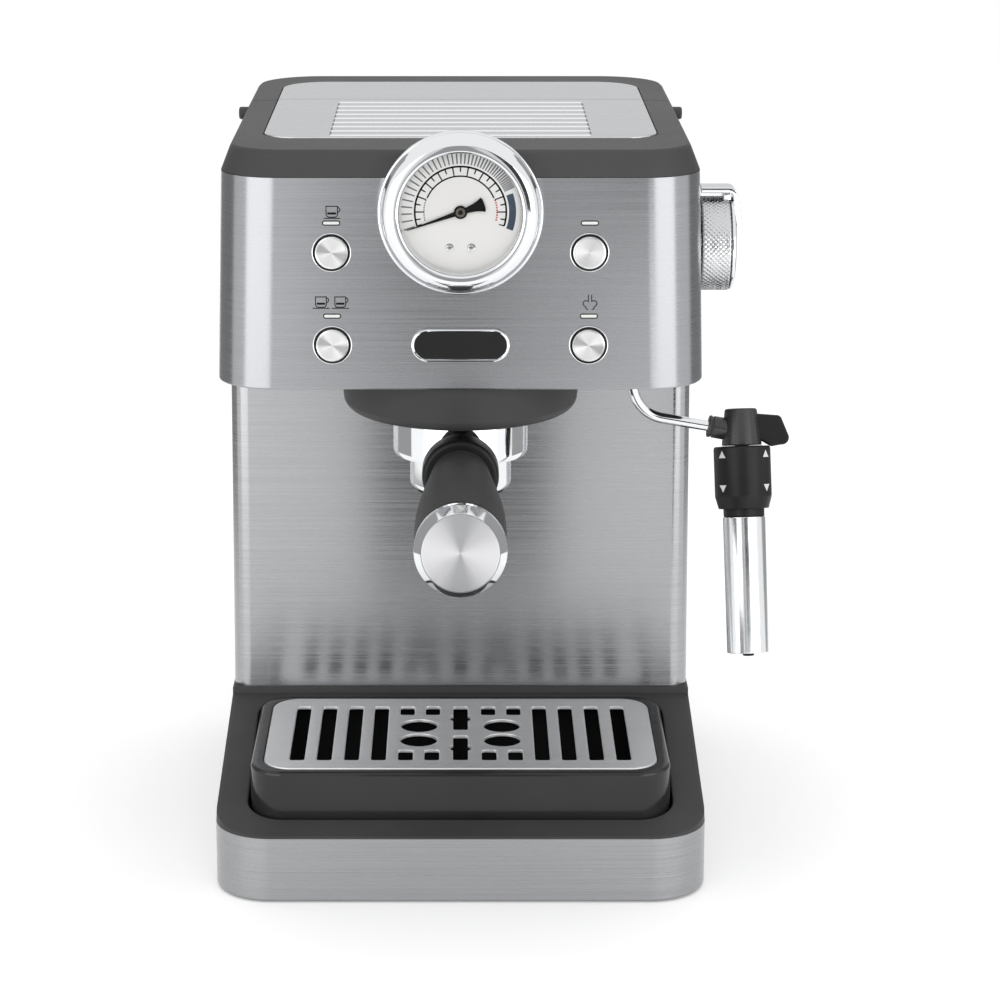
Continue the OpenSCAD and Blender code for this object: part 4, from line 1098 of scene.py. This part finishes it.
lever = {
    "half": 5.5,
    "low": 21.7,
    "high": 24.1,
    "from": 98.8,
    "bendAt": 110.4,
    "bend": 1.5,
    "turn": 81,
    "drop": 13.6,
}
bm = bmesh.new()
domeProfile = [
    (0, 111.05), (19.1, 111.05), (19.35, 111.3), (19.4, 111.8), (19.1, 112.4), (18.2, 112.8), (14, 113.2),
    (8, 113.5), (0, 113.6),
]
turned(bm, domeProfile, 128, knobAt)
half, low, high = lever["half"], lever["low"], lever["high"]
section = ((-half, low), (half, low), (half, high), (-half, high))
corners = [bm.verts.new((lever["from"], knob["y"] + y, knob["z"] + z)) for y, z in section]
strip = pushOn(bm, bm.faces.new(corners), (lever["bendAt"] - lever["from"], 0, 0))
bendCentre = (lever["bendAt"], knob["y"], knob["z"] + low - lever["bend"])
strip = bendOn(bm, strip, bendCentre, (0, 1, 0), lever["turn"], 10)
down = math.radians(lever["turn"])
pushOn(bm, strip, Vector((math.cos(down), 0, -math.sin(down))) * lever["drop"])
block(bm, (108, knob["y"] - 5, knob["z"] + 18.6), (111.4, knob["y"] + 5, knob["z"] + 22))
finishPiece(
    bm, "knobCap", "knob", [chrome], ["knob_cap"], edge=0.5, edgeSteps=3, edgeAngle=50
)

print("wand and frother")
wand = {
    "x": 71.5,
    "y": 45.0,
    "radius": 2.2,
    "top": 235.5,
    "start": 212.3,
    "bend": 15.0,
    "turn": 80.0,
    "run": 22.6,
}
bm = bmesh.new()
at = moved(wand["x"], wand["y"], wand["top"])
made = bmesh.ops.create_circle(bm, cap_ends=True, segments=32, radius=wand["radius"], matrix=at)
tube = pushOn(bm, made["verts"][0].link_faces[0], (0, 0, wand["start"] - wand["top"]))
tube = bendOn(bm, tube, (wand["x"] + wand["bend"], wand["y"], wand["start"]), (0, -1, 0), wand["turn"], 24)
slope = math.radians(90 - wand["turn"])
pushOn(bm, tube, Vector((math.cos(slope), 0, -math.sin(slope))) * wand["run"])
finishPiece(bm, "wandTube", "wand", [chrome], ["wand_tube"], crease=60)

swing = math.radians(wand["turn"])
endX = wand["x"] + wand["bend"] * (1 - math.cos(swing))
endZ = wand["start"] - wand["bend"] * math.sin(swing)
wandAt = moved(endX, wand["y"], endZ) @ tilted(180 - wand["turn"], "Y")
frother = {"x": 116.5, "y": 47.0, "top": 201.2, "lean": 1.8, "pitch": 15.0}
frotherAt = moved(frother["x"], frother["y"], frother["top"])
frotherAt = frotherAt @ tilted(-frother["pitch"], "X") @ tilted(-frother["lean"], "Y")
bm = bmesh.new()
elbowProfile = [
    (0, 0), (5.6, 0), (6.35, -0.25), (6.75, -0.9), (8.25, -14.4), (8.28, -15.0), (8.05, -15.38),
    (3.15, -15.38), (3.15, -10.9), (0, -10.9),
]
turned(bm, elbowProfile, 64, frotherAt)
socketProfile = [
    (2.5, 19.3), (4.2, 19.3), (4.6, 19.55), (4.6, 20.4), (4.25, 20.7), (4.25, 21.1), (4.55, 21.4), (4.6, 22),
    (4.6, 28.3), (2.5, 28.3),
]
turned(bm, socketProfile, 48, wandAt, closed=True)
finishPiece(bm, "wandElbow", "wand", [elbowAbs], ["wand_elbow"])

bm = bmesh.new()
earShape = [(5, -2.2), (5, -11.8)] + arcPoints(12.8, -13.6, 2.6, -118, -98, 3)
earShape += arcPoints(16.6, -12.6, 3, -98, 11, 10) + arcPoints(14.6, -5.6, 2.4, 11, 94, 8)
prism(bm, earShape, -2.0, 2.0, frotherAt @ tilted(90, "X"))
finishPiece(bm, "frotherEar", "wand", [blackAbs], edge=0.8, edgeSteps=3, edgeAngle=50)

coreProfile = [
    (2.45, -58.8), (7.4, -58.8), (7.6, -58.6), (7.6, -45.1), (8.3, -44.9), (8.5, -44.7), (8.5, -15.6),
    (3, -15.5), (3, -11.1), (0, -11.1), (0, -20.6), (2.45, -20.6),
]
turnedPiece(coreProfile, 64, frotherAt, "frotherCore", "wand", blackAbs, ["frother_core"])
nozzleProfile = [
    (0.9, -102.7), (1.9, -102.88), (2.25, -102.7), (2.4, -102.3), (2.4, -21), (0, -21), (0, -24.9),
    (0.9, -24.9),
]
turnedPiece(nozzleProfile, 40, frotherAt, "steamNozzle", "wand", blackAbs, ["steam_nozzle"])

selector = {"radius": 11.8, "marks": (-50, 50), "upMark": -19.0, "downMark": -33.2}
selectorProfile = [
    (8.6, -41.4), (8.9, -41.68), (10.1, -41.68), (10.45, -41.5), (10.6, -41.0), (11.7, -36.9),
    (selector["radius"], -36.0), (selector["radius"], -16.9), (11.6, -16.1), (11.0, -15.75), (8.85, -15.75),
    (8.6, -16.1),
]
turnedPiece(
    selectorProfile, 96, frotherAt, "selectorCollar", "selector", blackAbs,
    ["selector_collar"],
)
bm = bmesh.new()
for turnDeg in selector["marks"]:
    for height, up in ((selector["upMark"], 1), (selector["downMark"], -1)):
        around = frotherAt @ moved(0, 0, height) @ tilted(turnDeg, "Z")
        at = around @ moved(0, 0.02 - selector["radius"], 0) @ tilted(90, "X")
        prism(bm, [(-1.9, -1.5 * up), (1.9, -1.5 * up), (0, 1.5 * up)], -0.16, 0.05, at)
finishPiece(bm, "selectorMarks", "selector", [paleInk])

sleeveProfile = [
    (7.7, -101.5), (8.45, -101.5), (8.7, -101.35), (8.8, -101.0), (8.8, -45.5), (8.7, -45.15), (8.4, -45.0),
    (7.7, -45.0),
]
turnedPiece(
    sleeveProfile, 96, frotherAt, "frotherSleeve", "sleeve", softChrome, ["frother_sleeve"],
    crease=40,
)

print("group mark and icons")
bm = bmesh.new()
markAt = moved(0, group["y"] - 47.2, 208.3) @ tilted(71, "X")
prism(bm, [(-1.8, 1.85), (1.8, 1.85), (0, -1.85)], -0.5, 0.12, markAt)
finishPiece(bm, "groupMark", "machine", [silverInk])

icon = {
    "line": 0.38,
    "low": -0.02,
    "high": 0.04,
    "oneCup": (-50.9, 293.2, 4.5, 4.35, 1.2, 3.1),
    "twoCups": ((-55.6, 256.7, 4.3, 4.15, 1.1, 3.2), (-47.9, 256.7, 4.3, 4.15, 1.1, 3.2)),
    "steam": (51.6, 257.4),
}


# A line of the icons, drawn as a thin bar from one point to another on the head's front.
def stroke(bm, x0, z0, x1, z1):
    along = Vector((x1 - x0, z1 - z0, 0))
    half = icon["line"] / 2
    at = onFront(x0, z0) @ Matrix.Rotation(math.atan2(along.y, along.x), 4, "Z")
    block(bm, (-half, -half, icon["low"]), (along.length + half, half, icon["high"]), at)


def curve(bm, x, z, radius, start, end):
    half = icon["line"] / 2
    clockBand(bm, radius - half, radius + half, start, end, icon["low"], icon["high"], onFront(x, z), 0, 10)


mirroredFront = onFront(0, 0) @ Matrix.Scale(-1, 4, (0, 1, 0))


def cupIcon(bm, x, top, wide, tall, corner, saucer):
    left, right, foot = x - wide / 2, x + wide / 2, top - tall
    stroke(bm, left, top, right, top)
    stroke(bm, left, top, left, foot + corner)
    stroke(bm, right, top, right, foot + corner)
    stroke(bm, left + corner, foot, right - corner, foot)
    curve(bm, left + corner, foot + corner, corner, 180, 270)
    curve(bm, right - corner, foot + corner, corner, 90, 180)
    curve(bm, right, top - tall * 0.32, tall * 0.22, 0, 180)
    drink = tall * 0.56 - top  # a bar for the coffee, on the mirrored plane
    block(bm, (left + 0.5, drink, icon["low"]), (right - 0.5, drink + 0.85, icon["high"]), mirroredFront)
    stroke(bm, x - saucer, foot - 0.45, x + saucer, foot - 0.45)


bm = bmesh.new()
for cup in (icon["oneCup"], *icon["twoCups"]):
    cupIcon(bm, *cup)
x, z = icon["steam"]
for side in (-1, 1):
    stroke(bm, x + side * 0.65, z, x + side * 0.65, z - 2.1)
    curve(bm, x + side * 1.55, z - 3.4, 1.2, *((-160, 60) if side < 0 else (-60, 160)))
    curve(bm, x + side * 0.75, z - 4.8, 1.0, *((180, 290) if side < 0 else (70, 180)))
finishPiece(bm, "buttonIcons", "machine", [blackInk])

print("glass, tank and carried CAD nodes")


def clearShell(name, tint, bend, rough):
    material = bpy.data.materials.new(name)
    tree = emptyTree(material)
    through = addNode(tree, "ShaderNodeBsdfTransparent", {}, {"Color": linear(tint)})
    gloss = addNode(tree, "ShaderNodeBsdfGlossy", {}, {"Color": (1, 1, 1, 1), "Roughness": rough})
    edgeOn = addNode(tree, "ShaderNodeFresnel", {}, {"IOR": bend})
    mix = addNode(
        tree, "ShaderNodeMixShader", {},
        {0: edgeOn.outputs["Fac"], 1: through.outputs["BSDF"], 2: gloss.outputs["BSDF"]},
    )
    addNode(tree, "ShaderNodeOutputMaterial", {}, {"Surface": mix.outputs["Shader"]})
    return material


dialGlass = clearShell("mineral glass, coated against reflections", "#ffffff", 1.12, 0.02)  # barely veils
smokedSan = clearShell("smoked SAN, moulded", "#9aa0a6", 1.45, 0.06)  # grey water-clear wall, glossy
carried = {
    "gauge_glass": dialGlass, "water_tank": smokedSan, "rear_housing": darkAbs, "gauge_housing": darkAbs,
    "base_plate": blackAbs, "cord_inlet": blackAbs, "head_floor": blackAbs, "wand_gland": blackAbs,
    "tank_valve": blackAbs, "base_screws": softChrome, "shower_screen": softChrome,
    "tank_hinge_pins": softChrome, "filter_basket": softChrome, "feet": feetRubber,
    "group_gasket": feetRubber, "pump_mounts": feetRubber, "tank_socket": feetRubber,
    "group_head": castAluminium, "boiler": castAluminium, "steam_valve": brass, "pump": pumpPaint,
    "hoses": siliconeRubber, "control_board": boardGreen,
}
for node, finish in carried.items():
    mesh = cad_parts[node].data
    mesh.materials.clear()
    mesh.materials.append(finish)

print("floor and lights")


# 1 for what the camera, a reflection or a clear shell looks at, and 0 for light on its way round.
def lookedAt(tree):
    rays = addNode(tree, "ShaderNodeLightPath", {}, {})
    first = addNode(
        tree, "ShaderNodeMath", {"operation": "MAXIMUM"},
        {0: rays.outputs["Is Camera Ray"], 1: rays.outputs["Is Glossy Ray"]},
    )
    seen = addNode(
        tree, "ShaderNodeMath", {"operation": "MAXIMUM"},
        {0: first.outputs["Value"], 1: rays.outputs["Is Transmission Ray"]},
    )
    return seen.outputs["Value"]


# The paper keeps the object's shadow, and glows just enough to meet the white room behind it.
floorPaper = bpy.data.materials.new("white paper sweep")
tree = emptyTree(floorPaper)
lift = addNode(tree, "ShaderNodeMath", {"operation": "MULTIPLY"}, {0: lookedAt(tree), 1: studio["floorLift"]})
paper = addNode(tree, "ShaderNodeBsdfDiffuse", {}, {"Color": studio["paper"]})
glow = addNode(tree, "ShaderNodeEmission", {}, {"Color": (1, 1, 1, 1), "Strength": lift.outputs["Value"]})
both = addNode(tree, "ShaderNodeAddShader", {}, {0: paper.outputs["BSDF"], 1: glow.outputs["Emission"]})
addNode(tree, "ShaderNodeOutputMaterial", {}, {"Surface": both.outputs["Shader"]})
bm = bmesh.new()
bmesh.ops.create_grid(bm, x_segments=1, y_segments=1, size=studio["floorHalf"])
linkMesh(bm, "floor", [floorPaper])

world = bpy.data.worlds.new("white room")
scene.world = world
tree = emptyTree(world)
level = addNode(
    tree, "ShaderNodeMath", {"operation": "MULTIPLY_ADD"},
    {0: lookedAt(tree), 1: 1 - studio["roomLight"], 2: studio["roomLight"]},
)
air = addNode(tree, "ShaderNodeBackground", {}, {"Color": (1, 1, 1, 1), "Strength": level.outputs["Value"]})
addNode(tree, "ShaderNodeOutputWorld", {}, {"Surface": air.outputs["Background"]})

lamps = {
    "overheadSoftbox": ((0, -0.1, 1.9), (1.4, 1.4), 7),
    "frontFill": ((0.1, -2.6, 1.7), (1.6, 1.2), 12),
}
for name, (at, size, watts) in lamps.items():
    data = bpy.data.lights.new(name, "AREA")
    data.shape, data.size, data.size_y, data.energy = "RECTANGLE", *size, watts
    lamp = bpy.data.objects.new(name, data)
    lamp.location = at
    lamp.rotation_euler = (Vector(studio["lampsFace"]) - Vector(at)).to_track_quat("-Z", "Y").to_euler()
    lamp.visible_camera = lamp.visible_glossy = False
    scene.collection.objects.link(lamp)

# Flags and bright strips round the table, for the metal to mirror. Each is
# (bearing from the front, width of arc, nearest radius, bottom, top, level of grey).
flags = {
    "lensFlag": (-2.8, 7.5, 0.47, 0.12, 0.4, 0.34),
    "lensSurround": (-2.5, 18, 0.48, 0.12, 0.4, 0.76),
    "sleeveFlag": (13, 22, 0.6, 0.21, 0.45, 0.05),
    "benchFlag": (-4.6, 27, 0.205, 0.03, 0.15, 0.2),
    "leftStrip": (-39, 46, 0.75, 0.0, 0.5, 2.5),
    "rightStrip": (37, 48, 0.75, 0.0, 0.5, 2.5),
    "leftFlag": (-116, 54, 0.6, 0.0, 0.75, 0.36),
    "rightFlag": (122, 54, 0.6, 0.0, 0.75, 0.36),
    "rearFlag": (180, 70, 1.8, 0.25, 1.6, 0.72),
}
for name, (bearing, spread, radius, bottom, top, level) in flags.items():
    bm = bmesh.new()
    start = math.radians(bearing - spread / 2)
    edge = [bm.verts.new((radius * math.sin(start), -radius * math.cos(start), z)) for z in (bottom, top)]
    sweep(bm, [*edge, bm.edges.new(edge)], (0, 0, 0), (0, 0, 1), spread, 12)
    cloth = bpy.data.materials.new(f"flag cloth, {name}")
    tree = emptyTree(cloth)
    glow = addNode(tree, "ShaderNodeEmission", {}, {"Color": (1, 1, 1, 1), "Strength": level})
    addNode(tree, "ShaderNodeOutputMaterial", {}, {"Surface": glow.outputs["Emission"]})
    flag = linkMesh(bm, name, [cloth])
    flag.visible_camera = flag.visible_diffuse = flag.visible_shadow = flag.visible_transmission = False

print("done")
